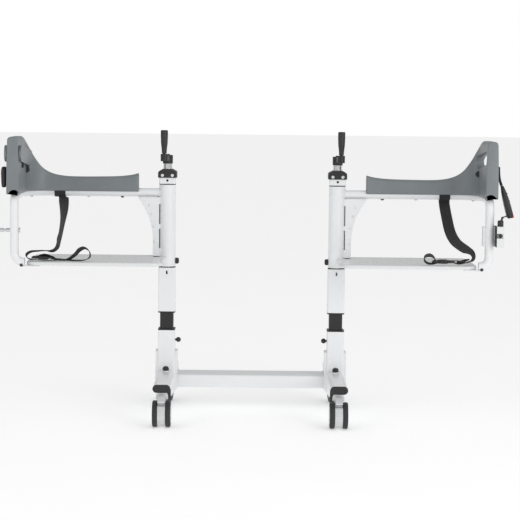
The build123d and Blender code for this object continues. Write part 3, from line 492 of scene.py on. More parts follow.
def table_value(table, x):
    """Smooth interpolation in a list of (x, value)."""
    if x <= table[0][0]:
        return table[0][1]
    for (x0, y0), (x1, y1) in zip(table, table[1:]):
        if x <= x1:
            i = table.index((x0, y0))
            before = table[max(i - 1, 0)]
            after = table[min(i + 2, len(table) - 1)]
            m0 = (y1 - before[1]) / max(x1 - before[0], 1e-6)
            m1 = (after[1] - y0) / max(after[0] - x0, 1e-6)
            h = x1 - x0
            t = (x - x0) / h
            return ((2 * t ** 3 - 3 * t * t + 1) * y0 + (t ** 3 - 2 * t * t + t) * h * m0
                    + (3 * t * t - 2 * t ** 3) * y1 + (t ** 3 - t * t) * h * m1)
    return table[-1][1]


def strap(bm, sign, controls, width=32.0, thick=1.9, per_span=10):
    """A woven band through (d, y, z, across x, across y, across z) controls."""
    samples = smooth_curve(controls, per_span)
    points = [outward(sign, *s[:3]) for s in samples]
    flat = (-0.5, -0.488, -0.42, -0.25, 0.0, 0.25, 0.42, 0.488, 0.5)
    rings, marks = [], []
    travelled = 0.0
    for i, point in enumerate(points):
        along = (points[min(i + 1, len(points) - 1)] - points[max(i - 1, 0)]).normalized()
        across = Vector((sign * samples[i][3], samples[i][4], samples[i][5]))
        across = (across - along * across.dot(along)).normalized()
        up = along.cross(across)
        if i:
            travelled += (point - points[i - 1]).length
        ring, mark = [], []
        for half in (1, -1):
            order = flat if half == 1 else tuple(reversed(flat))
            for f in order:
                edge = 0.30 if abs(f) > 0.495 else 0.5
                ring.append(point + across * (f * width) + up * (half * thick * edge))
                mark.append((f * width * MM + 1.0, travelled * MM))
        mark.append(mark[0])
        rings.append(ring)
        marks.append(mark)
    loft(bm, rings, uv=marks)
    return samples


def add_stitches(bm, start, end, lift, pitch=3.6, size=0.42):
    """A row of thread stitches from start to end, standing proud along lift."""
    start, end, lift = Vector(start), Vector(end), Vector(lift).normalized()
    run = end - start
    count = max(1, int(run.length / pitch))
    for i in range(count):
        a = start + run * ((i + 0.12) / count)
        b = start + run * ((i + 0.88) / count)
        mid = (a + b) / 2 + lift * 0.45
        add_tube(bm, [a, a.lerp(mid, 0.6) + lift * 0.15, mid, b.lerp(mid, 0.6) + lift * 0.15, b],
                 size, segments=6)


def stitched_box(bm, centre, along, across, length, width):
    """A box of stitches with a cross in it, as on load-bearing strap ends."""
    c, a, b = Vector(centre), Vector(along).normalized(), Vector(across).normalized()
    lift = a.cross(b)
    corners = [c + a * (length / 2 * i) + b * (width / 2 * j) for i, j in
               ((-1, -1), (1, -1), (1, 1), (-1, 1))]
    for i in range(4):
        add_stitches(bm, corners[i], corners[(i + 1) % 4], lift)
    add_stitches(bm, corners[0], corners[2], lift)
    add_stitches(bm, corners[1], corners[3], lift)


def cut(target, cutter_bm, name):
    """Boolean difference, applied, so that the hole is in the mesh itself."""
    mesh = bpy.data.meshes.new(name)
    bmesh.ops.recalc_face_normals(cutter_bm, faces=cutter_bm.faces)
    for vert in cutter_bm.verts:
        vert.co = world(vert.co)
    cutter_bm.to_mesh(mesh)
    cutter_bm.free()
    cutter = bpy.data.objects.new(name, mesh)
    bpy.context.scene.collection.objects.link(cutter)
    modifier = target.modifiers.new("cut", "BOOLEAN")
    modifier.operation = "DIFFERENCE"
    modifier.solver = "EXACT"
    modifier.object = cutter
    graph = bpy.context.evaluated_depsgraph_get()
    graph.update()
    result = bpy.data.meshes.new_from_object(target.evaluated_get(graph))
    target.modifiers.clear()
    old = target.data
    target.data = result
    bpy.data.meshes.remove(old)
    bpy.data.objects.remove(cutter)
    result.shade_smooth()
    result.set_sharp_from_angle(angle=math.radians(38.0))


# ---- moulded arm shells -------------------------------------------------------------
SHELL_START = 85.0
CORNER_D = 342.0
CORNER_Y = -83.0
MID_RADIUS = 83.0
ARM_RUN = CORNER_D - SHELL_START
ARC_RUN = MID_RADIUS * math.pi / 2
BACK_RUN = CORNER_Y - PARTING_Y
SHELL_RUN = ARM_RUN + ARC_RUN + BACK_RUN
SHELL_FOOT = 650.0
GROOVE_RADIUS = 12.9
RIM = [(0, 704), (18, 699), (56, 694.5), (120, 692.5), (200, 692.5), (235, 696), (257, 702), (271, 709),
       (289, 722), (314, 749), (346, 784), (373, 803), (390, 808), (412, 811.5), (552, 812)]


def shell_frame(s):
    """Centre of the wall, its outward normal and the tube's offset from it at path length s."""
    if s <= ARM_RUN:
        return (SHELL_START + s, 0.0), (0.0, 1.0), 0.0
    if s <= ARM_RUN + ARC_RUN:
        a = (s - ARM_RUN) / MID_RADIUS
        centre = (CORNER_D + MID_RADIUS * math.sin(a), CORNER_Y + MID_RADIUS * math.cos(a))
        tube = (CORNER_D + 79.0 * math.sin(a), -79.0 + 79.0 * math.cos(a))
        normal = (math.sin(a), math.cos(a))
        offset = (tube[0] - centre[0]) * normal[0] + (tube[1] - centre[1]) * normal[1]
        return centre, normal, offset
    return (CORNER_D + MID_RADIUS, CORNER_Y - (s - ARM_RUN - ARC_RUN)), (1.0, 0.0), -4.0


def shell_point(sign, s, n, z):
    (d, y), (nd, ny), _ = shell_frame(s)
    return outward(sign, d + nd * n, y + ny * n, z)


def shell_section(s):
    """The wall's outline at s as (offset, height, inset direction) points."""
    top = table_value(RIM, s)
    offset = shell_frame(s)[2]
    height = top - SHELL_FOOT
    out = []
    foot_half, top_half = 17.6, 15.2
    corner, rim_round = 3.0, 10.5
    for i in range(5):
        a = math.pi / 2 * i / 4
        out.append((foot_half - corner + corner * math.sin(a),
                    SHELL_FOOT + corner - corner * math.cos(a)))
    for i in range(1, 9):
        t = i / 9
        swell = 0.8 * math.sin(math.pi * t)
        out.append((foot_half + (top_half - foot_half) * t + swell,
                    SHELL_FOOT + corner + (height - corner - rim_round) * t))
    for i in range(9):
        a = math.pi / 2 * i / 8
        out.append((top_half - rim_round + rim_round * math.cos(a),
                    top - rim_round + rim_round * math.sin(a)))
    mirrored = [(-n, z) for n, z in reversed(out)]
    arch = []
    for i in range(13):
        a = math.radians(194 - (194 + 14) * i / 12)
        arch.append((offset + GROOVE_RADIUS * math.cos(a),
                     max(ARM_Z + GROOVE_RADIUS * math.sin(a), SHELL_FOOT)))
    return out + mirrored + arch


def arm_shell(name, sign):
    bm = bmesh.new()
    end = 3.2
    stations = [0.0, 0.25, 0.8, 1.6, end]
    insets = [3.2, 2.0, 1.0, 0.35, 0.0]
    step = 6.0
    s = step
    while s < SHELL_RUN - step * 0.7:
        stations.append(s)
        insets.append(0.0)
        s += step
    stations += [SHELL_RUN - v for v in (end, 1.6, 0.8, 0.25, 0.0)]
    insets += [0.0, 0.35, 1.0, 2.0, 3.2]
    rings = []
    for s, inset in zip(stations, insets):
        outline = [Vector(p) for p in shell_section(s)]
        count = len(outline)
        ring = []
        for i, p in enumerate(outline):
            if inset:
                ahead = outline[(i + 1) % count]
                behind = outline[i - 1]
                along = ahead - behind
                if along.length > 1e-6:
                    along.normalize()
                    p = p + Vector((-along.y, along.x)) * inset
            ring.append(shell_point(sign, s, p.x, p.y))
        rings.append(ring)
    loft(bm, rings)
    return piece(f"{name}_arm_shell_moulding", bm, "grey_shell", f"{name}_half",
                 (f"{name}_arm_shell",))


SLOT_S0, SLOT_S1 = 345.0, 541.0
SLOT_HALF = 17.5


def slot_outline(grow):
    """The hand-hold's outline in (path length, height), grown by grow."""
    half = SLOT_HALF + grow
    a = Vector((SLOT_S0 + SLOT_HALF, 749.0))
    b = Vector((SLOT_S1 - SLOT_HALF, 765.0))
    lean = math.atan2(b.y - a.y, b.x - a.x)
    out = []
    for centre, first in ((b, lean - math.pi / 2), (a, lean + math.pi / 2)):
        for i in range(13):
            t = first + math.pi * i / 12
            out.append(centre + Vector((math.cos(t), math.sin(t))) * half)
    top = []
    for i, p in enumerate(out):
        top.append(p)
        if i in (12, 25):
            q = out[(i + 1) % len(out)]
            for k in range(1, 24):
                top.append(p.lerp(q, k / 24))
    return top


def hand_hold(shell, sign):
    bm = bmesh.new()
    rings = []
    for n, grow in ((-24, 6), (-17.6, 4.6), (-16.2, 2.4), (-14.2, 0.9), (-11, 0), (11, 0), (14.2, 0.9),
                    (16.2, 2.4), (17.6, 4.6), (24, 6)):
        rings.append([shell_point(sign, p.x, n, p.y) for p in slot_outline(grow)])
    loft(bm, rings)
    cut(shell, bm, "hand_hold_cutter")


for side, sign in SIDES:
    shell = arm_shell(side, sign)
    hand_hold(shell, sign)


# ---- seat plates --------------------------------------------------------------------
def rounded_outline(x0, x1, y0, y1, radius, inset):
    r = max(radius - inset, 4.0)
    out = []
    corners = ((x1 - inset - r, y1 - inset - r, 0), (x0 + inset + r, y1 - inset - r, 90),
               (x0 + inset + r, y0 + inset + r, 180), (x1 - inset - r, y0 + inset + r, 270))
    for cx, cy, start in corners:
        for i in range(13):
            a = math.radians(start + 90 * i / 12)
            out.append((cx + r * math.cos(a), cy + r * math.sin(a)))
    return out


def seat_plate(name, sign):
    bm = bmesh.new()
    levels = ((9.0, 452.6), (6.0, 450.4), (3.0, 450.1), (1.0, 450.7), (0.1, 452.4), (0.0, 455.5),
              (0.5, 458.2), (2.0, 460.0), (4.5, 460.8), (8.0, 460.7), (12.0, 459.8), (20.0, 458.9),
              (40.0, 458.3))
    rings = []
    for inset, z in levels:
        rings.append([outward(sign, d, y, z)
                      for d, y in rounded_outline(2, 389, PARTING_Y, 18, 35, inset)])
    loft(bm, rings)
    plate = piece(f"{name}_seat_half", bm, "white_seat", f"{name}_half",
                  (f"{name}_seat_plate",))
    notch = bmesh.new()
    add_lathe(notch, Matrix.Translation(outward(sign, 0, 0, 430)),
              [(0, 0), (25.2, 0), (25.2, 60), (0, 60)], 64)
    cut(plate, notch, "sleeve_notch_cutter")


for side, sign in SIDES:
    seat_plate(side, sign)


# ---- lap straps ---------------------------------------------------------------------
def tri_glide(bm, matrix, width=38.0):
    """A three-bar slide: a rounded frame with a middle bar."""
    for y in (-9.0, 0.0, 9.0):
        add_block(bm, matrix, (0, y, 0), (width, 4.2, 3.4), 1.3)
    for x in (-width / 2 + 1.6, width / 2 - 1.6):
        add_block(bm, matrix, (x, 0, 0), (4.0, 21.0, 3.6), 1.3)


def side_release_buckle(bm, matrix):
    """Both mated halves, lengthways along X: body, side openings, prongs and end bars."""
    body = bmesh.new()
    lengthways = matrix @ basis((0, 0, 0), (0, 1, 0), (0, 0, 1), (1, 0, 0))
    rings = [squarish_ring(lengthways, half_w, half_h, x, 28, 0.45, 0.6) for x, half_w, half_h in
             ((-21, 13, 3.0), (-20, 15.5, 4.4), (-16, 17.5, 5.2), (-4, 18.5, 5.6),
              (4, 18.0, 5.6), (8, 16.0, 5.2), (10, 14.0, 4.0), (10.6, 12.5, 3.0))]
    loft(body, rings)
    merge(bm, body)
    for side_sign in (-1, 1):
        prong = [(13, 9, 0), (6, 13.5, 0), (-2, 17.6, 0), (-8, 19.6, 0), (-12, 18.4, 0), (-15, 15.5, 0)]
        add_tube(bm, [matrix @ Vector((x, y * side_sign, z)) for x, y, z in smooth_curve(prong, 5)],
                 2.6, segments=10)
    add_block(bm, matrix, (14, 0, 0), (7.0, 34.0, 7.0), 2.0)
    for y in (-16.0, 16.0):
        add_block(bm, matrix, (21, y, 0), (12.0, 3.6, 5.0), 1.2)
        add_block(bm, matrix, (-26, y, 0), (12.0, 3.6, 5.0), 1.2)
    for x in (19.0, 26.0, -24.0, -31.0):
        add_block(bm, matrix, (x, 0, 0), (3.4, 34.0, 3.8), 1.2)
    for x in (-14.0, -10.0, -6.0):
        add_block(bm, matrix, (x, 0, 5.6), (1.5, 18.0, 1.2), 0.4)


COLLAR_RANGE = (300, 332)      # the collar's ends along the arm tube
COLLAR_START = 0.6             # where the seam of the collar lies, in radians


def strap_collar(bm, sign):
    """The webbing collar that hangs the strap from the arm tube."""
    near, far = COLLAR_RANGE
    controls = []
    for i in range(17):
        a = 2 * math.pi * i / 16 + COLLAR_START
        r = TUBE_R + 1.6
        controls.append(((near + far) / 2, r * math.sin(a), ARM_Z - r * math.cos(a), 1.0, 0.0, 0.0))
    strap(bm, sign, controls, far - near, 2.0, 4)


LEFT_STRAP = [
    (306, -3, 633, 0.80, -0.60, 0.0), (304, -16, 618, 0.74, -0.67, 0.0),
    (302, -45, 590, 0.50, -0.86, 0.1),
    (303, -75, 556, 0.20, -0.98, 0.1), (305, -120, 522, 0.10, -1.0, 0.0),
    (309, -165, 500, 0.14, -1.0, 0.0),
    (322, -196, 490, 0.10, -1.0, 0.05), (352, -212, 489, 0.06, -1.0, 0.16),
    (376, -216, 487, 0.0, -1.0, 0.22), (389, -218, 478, 0.0, -1.0, 0.26),
    (384, -220, 468, 0.0, -1.0, 0.22),
    (362, -222, 464.5, 0.0, -1.0, 0.10), (330, -222, 463.2, 0.0, -1.0, 0.06),
    (298, -222, 463.4, 0.0, -1.0, 0.10), (272, -222, 466, 0.0, -1.0, 0.22),
    (252, -222, 479, 0.06, -1.0, 0.34), (238, -221, 494, 0.10, -1.0, 0.36),
    (224, -220, 499, 0.05, -1.0, 0.30),
    (211, -220, 490, 0.0, -1.0, 0.22), (209, -220, 474, 0.0, -1.0, 0.12),
    (222, -221, 465.5, 0.0, -1.0, 0.04),
    (250, -223, 463.6, 0.0, -1.0, 0.0), (286, -224, 466.0, 0.0, -1.0, 0.0),
    (318, -224, 468.4, 0.0, -1.0, 0.03),
]
LEFT_TAIL = [
    (300, -226, 467, 0.0, -1.0, 0.15), (318, -226, 474, 0.0, -1.0, 0.3),
    (336, -226, 478, 0.0, -1.0, 0.35),
    (352, -226, 474, 0.0, -1.0, 0.25), (362, -226, 468, 0.0, -1.0, 0.1),
]
RIGHT_STRAP = [
    (315, -2, 633, 1.0, 0.0, 0.0), (316, -10, 618, 1.0, 0.05, 0.0), (319, -40, 589, 0.98, 0.10, 0.10),
    (326, -84, 546, 0.92, 0.20, 0.24), (338, -126, 520, 0.80, 0.34, 0.36),
    (357, -168, 505, 0.62, 0.50, 0.40),
    (371, -196, 495, 0.40, 0.80, 0.30), (376, -214, 483, 0.20, 0.95, 0.10),
    (369, -222, 473, 0.05, 1.0, 0.0),
    (354, -224, 467.5, 0.0, 1.0, -0.12), (338, -224, 466, 0.0, 1.0, -0.18),
    (322, -224, 468.6, 0.0, 1.0, -0.1),
]
RIGHT_LOOP = [
    (276, -224, 468.4, 0.0, 1.0, 0.0), (262, -224, 465.5, 0.0, 1.0, 0.05),
    (248, -224, 467, 0.05, 1.0, 0.12),
    (239, -224, 476, 0.10, 1.0, 0.16), (243, -224, 486, 0.10, 1.0, 0.20),
    (256, -224, 489, 0.05, 1.0, 0.24),
    (267, -224, 483, 0.0, 1.0, 0.18), (270, -224, 475, 0.0, 1.0, 0.1),
    (262, -224, 468.5, 0.0, 1.0, 0.05),
]
RIGHT_TAIL = [
    (366, -226, 478, 0.0, 1.0, -0.2), (352, -227, 475, 0.0, 1.0, -0.3),
    (340, -227, 472, 0.0, 1.0, -0.25),
    (330, -227, 474.5, 0.0, 1.0, -0.1), (318, -227, 473, 0.0, 1.0, 0.0),
]


def lap_strap(side, sign, runs):
    """One side's lap strap as runs of (controls, width), with its collar."""
    bm = bmesh.new()
    for controls, width in runs:
        strap(bm, sign, controls, width, 1.9, 12)
    strap_collar(bm, sign)
    piece(f"{side}_lap_webbing", bm, "webbing", f"{side}_half", (f"{side}_lap_belt",))


STRAP_WIDTH = 32.0
TAIL_WIDTH = 30.0
lap_strap("left", -1, ((LEFT_STRAP, STRAP_WIDTH), (LEFT_TAIL, TAIL_WIDTH)))
lap_strap("right", 1, ((RIGHT_STRAP, STRAP_WIDTH), (RIGHT_LOOP, TAIL_WIDTH), (RIGHT_TAIL, TAIL_WIDTH)))


def lap_hardware(side, sign, buckle, glide, glide_tilt, seam, across, along):
    """The buckle and slide at their (d, y, z) places, and the seam below the collar."""
    bm = bmesh.new()
    side_release_buckle(bm, basis(outward(sign, *buckle), (sign, 0, 0), (0, 1, 0), (0, 0, sign)))
    turn = Matrix.Rotation(math.radians(glide_tilt), 4, "Y")
    tri_glide(bm, basis(outward(sign, *glide), (0, 1, 0), (sign, 0, 0), (0, 0, -sign)) @ turn)
    piece(f"{side}_lap_fastener", bm, "black_plastic", f"{side}_half",
          (f"{side}_lap_buckle",))
    seams = bmesh.new()
    stitched_box(seams, outward(sign, *seam), along, across, 20.0, 24.0)
    piece(f"{side}_lap_stitching", seams, "thread", f"{side}_half")


lap_hardware("left", -1, (345.0, -224, 472.0), (300.0, -223.0, 466.5), 8.0,
             (308, -12.5, 626), (-0.80, -0.60, 0.0), (0.0, -0.35, -0.94))
lap_hardware("right", 1, (296.0, -224, 471.5), (344.0, -225.0, 470.5), -10.0,
             (316, -5.6, 626), (1.0, 0.0, 0.0), (0.02, -0.32, -0.95))


# ---- back belts ---------------------------------------------------------------------
def anchor_plug(bm, sign):
    """The round belt anchor on the inner face of the shell's corner."""
    s, z = 374.0, 714.0
    (d, y), (nd, ny), _ = shell_frame(s)
    inward = Vector((-sign * nd, -ny, 0.0))
    up = Vector((0, 0, 1))
    place = basis(outward(sign, d, y, z) + inward * 16.0, up.cross(inward), up, inward)
    add_lathe(bm, place,
              [(0, 0), (10.5, 0), (10.5, 2.4), (9.6, 3.6), (7.4, 4.4), (6.8, 8.2), (5.2, 9.6),
                          (3.2, 9.8), (3.0, 8.0), (0, 8.0)], 36)


def wall_strap(bm, sign, s, stops, width):
    """A band that follows (offset from the wall's middle, height) stops at one place of the shell."""
    controls = []
    for n, z in stops:
        p = shell_point(sign, s, n, z)
        ahead = shell_point(sign, s + 1.0, n, z) - shell_point(sign, s - 1.0, n, z)
        ahead.normalize()
        controls.append((abs(p.x) - COLUMN_X, p.y, z, sign * ahead.x, ahead.y, 0.0))
    strap(bm, sign, controls, width, 2.0, 6)


def back_belt_webbing():
    left = bmesh.new()
    wall_strap(left, -1, 462.0,
               [(22.5, 676), (21.0, 700), (19.6, 722), (19.0, 738), (18.6, 748), (14.0, 755.5),
                                 (0.0, 757.0), (-14.0, 755.0), (-18.8, 748), (-19.2, 738),
                                 (-19.4, 722)], 34.0)
    wall_strap(left, -1, 372.0, [(-18.6, 716), (-19.6, 728), (-19.4, 740), (-17.6, 749), (-8.0, 751.5),
                                 (6.0, 752.5), (16.0, 751), (19.4, 744), (20.6, 728)], 30.0)
    wall_strap(left, -1, 505.0, [(19.4, 742), (19.2, 752), (14.0, 760.5), (0.0, 762), (-12.0, 760.5),
                                 (-18.2, 766), (-18.8, 778)], 32.0)
    piece("left_back_webbing", left, "webbing", "left_half", ("left_back_belt",))
    right = bmesh.new()
    strap(right, 1,
          [(444.0, -219, 742, 0, 1, 0), (444.6, -219, 726, 0, 1, 0), (446.5, -219, 708, 0, 1, 0),
                     (451.5, -219, 692, 0, 1, 0), (456.5, -219, 680, 0, 1, 0)], 28.0, 2.2, 8)
    strap(right, 1,
          [(446.4, -219, 741, 0, 1, 0), (447.0, -219, 724, 0, 1, 0), (449.5, -219, 706, 0, 1, 0),
                     (455.0, -219, 690, 0, 1, 0)], 28.0, 2.2, 8)
    strap(right, 1, [(466.5, -232, 602, 0.2, 0.95, 0), (460.0, -238, 600, 0.2, 0.95, 0.1),
                     (454.5, -246, 594, 0.1, 1, 0.1), (452.0, -252, 585, 0, 1, 0)], 22.0, 2.0, 8)
    piece("right_back_webbing", right, "webbing", "right_half", ("right_back_belt",))
    for side, sign in SIDES:
        plug = bmesh.new()
        anchor_plug(plug, sign)
        piece(f"{side}_belt_anchor", plug, "black_plastic", f"{side}_half")


def belt_tongue():
    """The tongue's moulded cover with four small cross bars, hanging outside the left shell."""
    bm = bmesh.new()
    place = basis(outward(-1, 452.0, -219, 0), (-1, 0, 0), (0, 1, 0), (0, 0, 1))
    rings = [squarish_ring(place, half_d, half_y, z, 32, 0.6, 0.5) for z, half_d, half_y in
             ((727, 3.2, 13.5), (725.5, 5.4, 16.0), (721, 6.6, 18.0), (708, 7.3, 19.2),
              (692, 7.0, 18.4), (680, 6.6, 17.0), (672, 5.8, 15.6), (669, 4.0, 13.6))]
    loft(bm, rings)
    for z in (700.0, 705.0, 710.0, 715.0):
        add_block(bm, HERE, outward(-1, 459.0, -219, z), (1.6, 22.0, 1.6), 0.6)
    piece("left_belt_tongue", bm, "black_plastic", "left_half")


BUCKLE_TILT = 16.0
BUCKLE_TOP = (456.0, -219.0, 686.0)


def belt_buckle():
    """The receiving buckle: slim neck, broad foot with a framed button and a tongue slot."""
    turn = Matrix.Rotation(math.radians(-BUCKLE_TILT), 4, "Y")
    place = Matrix.Translation(outward(1, *BUCKLE_TOP)) @ turn
    bm = bmesh.new()
    rings = [squarish_ring(place, half_x, half_y, z, 40, 0.55, 0.5, shift) for z, shift, half_x,
             half_y in
             ((2, 0, 2.2, 9.0), (0.5, 0, 3.6, 10.5), (-6, 0, 5.0, 12.5), (-18, 0.2, 6.8, 14.4),
              (-36, 0.3, 8.4, 15.6), (-56, 0.2, 9.2, 16.2), (-76, 0, 9.4, 16.6), (-86, -0.2, 9.1, 16.4),
              (-90.4, -0.4, 8.2, 15.4), (-92, -0.6, 6.6, 13.8))]
    loft(bm, rings)
    body = piece("right_belt_buckle", bm, "black_plastic", "right_half",
                 ("belt_buckle",))
    pocket = bmesh.new()
    add_block(pocket, place, (6.6, 0, -84.5), (10.6, 21.2, 21.0), 0.6)
    cut(body, pocket, "button_pocket_cutter")
    mouth = bmesh.new()
    add_block(mouth, place, (-3.4, 0, -88), (2.6, 23.0, 14.0), 0.4)
    cut(body, mouth, "tongue_mouth_cutter")
    button = bmesh.new()
    add_block(button, place, (5.6, 0, -84.6), (8.0, 19.8, 18.4), 1.6, 4)
    add_block(button, place, (9.5, 0, -84.6), (1.0, 9.0, 6.0), 0.4, 2)
    piece("belt_release", button, "red_button", "buckle_button", ("belt_button",))
    rivets = bmesh.new()
    for y in (-8.0, 8.0):
        for z in (-22.0, -44.0):
            add_lathe(rivets, place @ Matrix.Translation((7.6 if z > -40 else 9.0, y, z))
                      @ Matrix.Rotation(math.pi / 2, 4, "Y"),
                      [(0, -1), (1.9, -1), (1.9, 0.2), (1.2, 0.8),
                                                               (0, 0.9)], 20)
    piece("buckle_rivets", rivets, "dark_screws", "right_half")


back_belt_webbing()
belt_tongue()
belt_buckle()


# ---- welds on the frame --------------------------------------------------------------
def beaded(points, radius=1.9, pitch=2.6):
    """Fine points along a line with the bead's rippled radius at each."""
    fine = []
    for a, b in zip(points, points[1:]):
        a, b = Vector(a), Vector(b)
        steps = max(1, int((b - a).length / 0.9))
        fine += [a.lerp(b, k / steps) for k in range(steps)]
    fine.append(Vector(points[-1]))
    run = 0.0
    sizes = []
    for i, p in enumerate(fine):
        run += (p - fine[i - 1]).length if i else 0.0
        sizes.append(radius + 0.28 * abs(math.sin(math.pi * run / pitch)) + 0.1 * math.sin(run * 0.37))
    return fine, sizes


def add_weld(bm, points, radius=1.9):
    fine, sizes = beaded(points, radius)
    add_tube(bm, fine, lambda i: sizes[i], segments=8)


SLEEVE_R = 24.5
RAIL_WELD_Z = 448.2
BRACKET_WELD_D = 32.3


def half_welds(side, sign):
    bm = bmesh.new()
    ring = []
    r = TUBE_R + 0.2
    for i in range(65):
        a = 2 * math.pi * i / 64
        y = r * math.cos(a)
        d = math.sqrt(SLEEVE_R ** 2 - y * y) + 0.3
        ring.append(outward(sign, d, y, ARM_Z + r * math.sin(a)))
    add_weld(bm, ring, 2.1)
    for y in (-16.0, 16.0):
        for z0, z1 in ((461.5, 482.0), (543.5, 553.0), (616.5, 631.5)):
            add_weld(bm, [outward(sign, 18.8, y, z0), outward(sign, 18.8, y, z1)], 1.6)
        add_weld(bm,
                 [outward(sign, 28, y, 634.3), outward(sign, 50, y, 634.3), outward(sign, 82, y, 634.3)], 1.5)
    add_weld(bm, [outward(sign, 393, y, RAIL_WELD_Z) for y in (-246, -224)], 1.6)
    piece(f"{side}_arm_welds", bm, "weld", f"{side}_half")


def base_welds():
    bm = bmesh.new()
    for sign in (-1, 1):
        d = -BRACKET_WELD_D
        outline = [(3, 105.7), (97, 105.7), (99.7, 103), (99.7, 71), (97, 68.3), (3, 68.3), (0.3, 71),
                   (0.3, 103), (3, 105.7)]
        add_weld(bm, [outward(sign, d, y, z) for y, z in outline], 2.0)
        for side_d in (-25.0, 25.0):
            add_weld(bm, [outward(sign, side_d, y, 179.3) for y in (-19, 0, 24)], 1.7)
            add_weld(bm, [outward(sign, side_d, -20.3, z) for z in (126, 150, 178)], 1.7)
        top = [outward(sign, d, -25.4, 123.3) for d in (-14, 0, 14)]
        add_weld(bm, top, 2.0)
        side_arc = []
        for i in range(9):
            a = math.pi / 2 - math.pi * i / 8
            side_arc.append((13.5 + 11.5 * math.cos(a), 111.5 + 11.7 * math.sin(a)))
        for flip in (-1, 1):
            add_weld(bm, [outward(sign, flip * d, -25.4, z) for d, z in side_arc], 1.8)
    piece("base_welds", bm, "weld", "base")


for side, sign in SIDES:
    half_welds(side, sign)
base_welds()


# ---- caster details -------------------------------------------------------------------
REAR_WHEEL = (-283.0, 37.5)     # the rear axles (y, z)
REAR_STEM_Y = -262.0
REAR_BODY_R = 34.7
FRONT_SWIVEL_Y = 192.0
TURN = math.radians(4.0)        # each front wheel stands turned out by this much
TRAIL = 34.0
FRONT_WHEEL_R = 50.0


def rear_caster_details(side, sign):
    caps = bmesh.new()
    for face in (-1, 1):
        x = sign * COLUMN_X + face * 25.9
        place = basis((x, *REAR_WHEEL), (0, face, 0), (0, 0, 1), (face, 0, 0))
        add_lathe(caps, place,
                  [(0, -3.0), (25.5, -3.0), (25.5, -0.2), (24.6, 0.5), (22.0, 0.7), (20.8, -0.4),
                                (12.0, -0.9), (10.4, 0.2), (8.6, 1.2), (5.0, 1.3), (4.6, 0.5),
                                (0, 0.5)], 48)
        for k in range(5):
            a = 2 * math.pi * k / 5
            spoke = place @ Matrix.Translation((16 * math.cos(a), 16 * math.sin(a), -0.4)) \
                @ Matrix.Rotation(a, 4, "Z")
            add_block(caps, spoke, (0, 0, 0), (9.5, 2.6, 1.6), 0.6, 2)
    piece(f"{side}_rear_hub_caps", caps, "caster_plastic", f"{side}_rear_wheel")
    ribs = bmesh.new()
    for angle in (-96, -62, -28, 6, 216, 250):
        a = math.radians(angle)
        y = REAR_WHEEL[0] + REAR_BODY_R * math.sin(a)
        z = REAR_WHEEL[1] - REAR_BODY_R * math.cos(a)
        place = Matrix.Translation((sign * COLUMN_X, y, z)) @ Matrix.Rotation(a, 4, "X")
        add_block(ribs, place, (0, 0, 0), (21.0, 1.8, 1.4), 0.5, 2)
    for z, r in ((79.0, 17.3), (88.0, 16.2)):
        add_lathe(ribs, Matrix.Translation((sign * COLUMN_X, REAR_STEM_Y, z)),
                  [(0, -1.0), (r, -1.0), (r + 0.3, 0), (r, 1.0), (0, 1.0)], 40)
    piece(f"{side}_rear_caster_ribs", ribs, "caster_plastic", f"{side}_rear_swivel")
    washer = bmesh.new()
    add_lathe(washer, Matrix.Translation((sign * COLUMN_X, REAR_STEM_Y, 97.0)),
              [(0, 0), (11.5, 0), (12, 0.5), (12, 1.9), (11.5, 2.4), (0, 2.4)], 40)
    piece(f"{side}_rear_washer", washer, "zinc_screws", f"{side}_rear_swivel")


def front_caster_details(side, sign):
    centre = Vector((sign * (COLUMN_X + TRAIL * math.sin(TURN)),
                     FRONT_SWIVEL_Y - TRAIL * math.cos(TURN), FRONT_WHEEL_R))
    axle = Vector((math.cos(TURN), sign * math.sin(TURN), 0.0))
    ahead = Vector((0, 0, 1)).cross(axle)
    nuts = bmesh.new()
    for face in (-1, 1):
        out = axle * face
        place = basis(centre + out * 18.2, ahead * face, (0, 0, 1), out)
        add_lathe(nuts, place,
                  [(0, 0), (9.5, 0), (9.5, 1.2), (6.6, 1.3), (6.6, 5.4), (5.8, 6.2), (0, 6.2)], 6)
    piece(f"{side}_front_axle_nuts", nuts, "zinc_screws", f"{side}_front_swivel")
    tread = bmesh.new()
    for offset in (-7.5, 0.0, 7.5):
        ring = []
        for i in range(96):
            a = 2 * math.pi * i / 96
            spoke = ahead * math.cos(a) + Vector((0, 0, 1)) * math.sin(a)
            ring.append(centre + axle * offset + spoke * (FRONT_WHEEL_R - 0.25))
        add_tube(tread, ring, 0.75, segments=6, closed=True)
    piece(f"{side}_front_tread_ribs", tread, "tyre_rubber", f"{side}_front_wheel")
    race = bmesh.new()
    add_lathe(race, Matrix.Translation((sign * COLUMN_X, FRONT_SWIVEL_Y, 98.2)),
              [(0, 0), (19, 0), (20.5, 1.2), (20.5, 3.2), (19, 3.4), (0, 3.4)], 48)
    piece(f"{side}_front_race", race, "zinc_screws", f"{side}_front_swivel")


for side, sign in SIDES:
    rear_caster_details(side, sign)
    front_caster_details(side, sign)


# ---- small fittings --------------------------------------------------------------------
def cap_screw(bm, origin, out, radius, height):
    """A round-headed screw with a recess."""
    out = Vector(out).normalized()
    side_axis = out.orthogonal().normalized()
    place = basis(origin, side_axis, out.cross(side_axis), out)
    profile = [(0, -0.5), (radius, -0.5), (radius, height * 0.45), (radius * 0.86, height * 0.85),
               (radius * 0.55, height), (radius * 0.42, height), (radius * 0.40, height * 0.4),
               (0, height * 0.35)]
    add_lathe(bm, place, profile, 24)


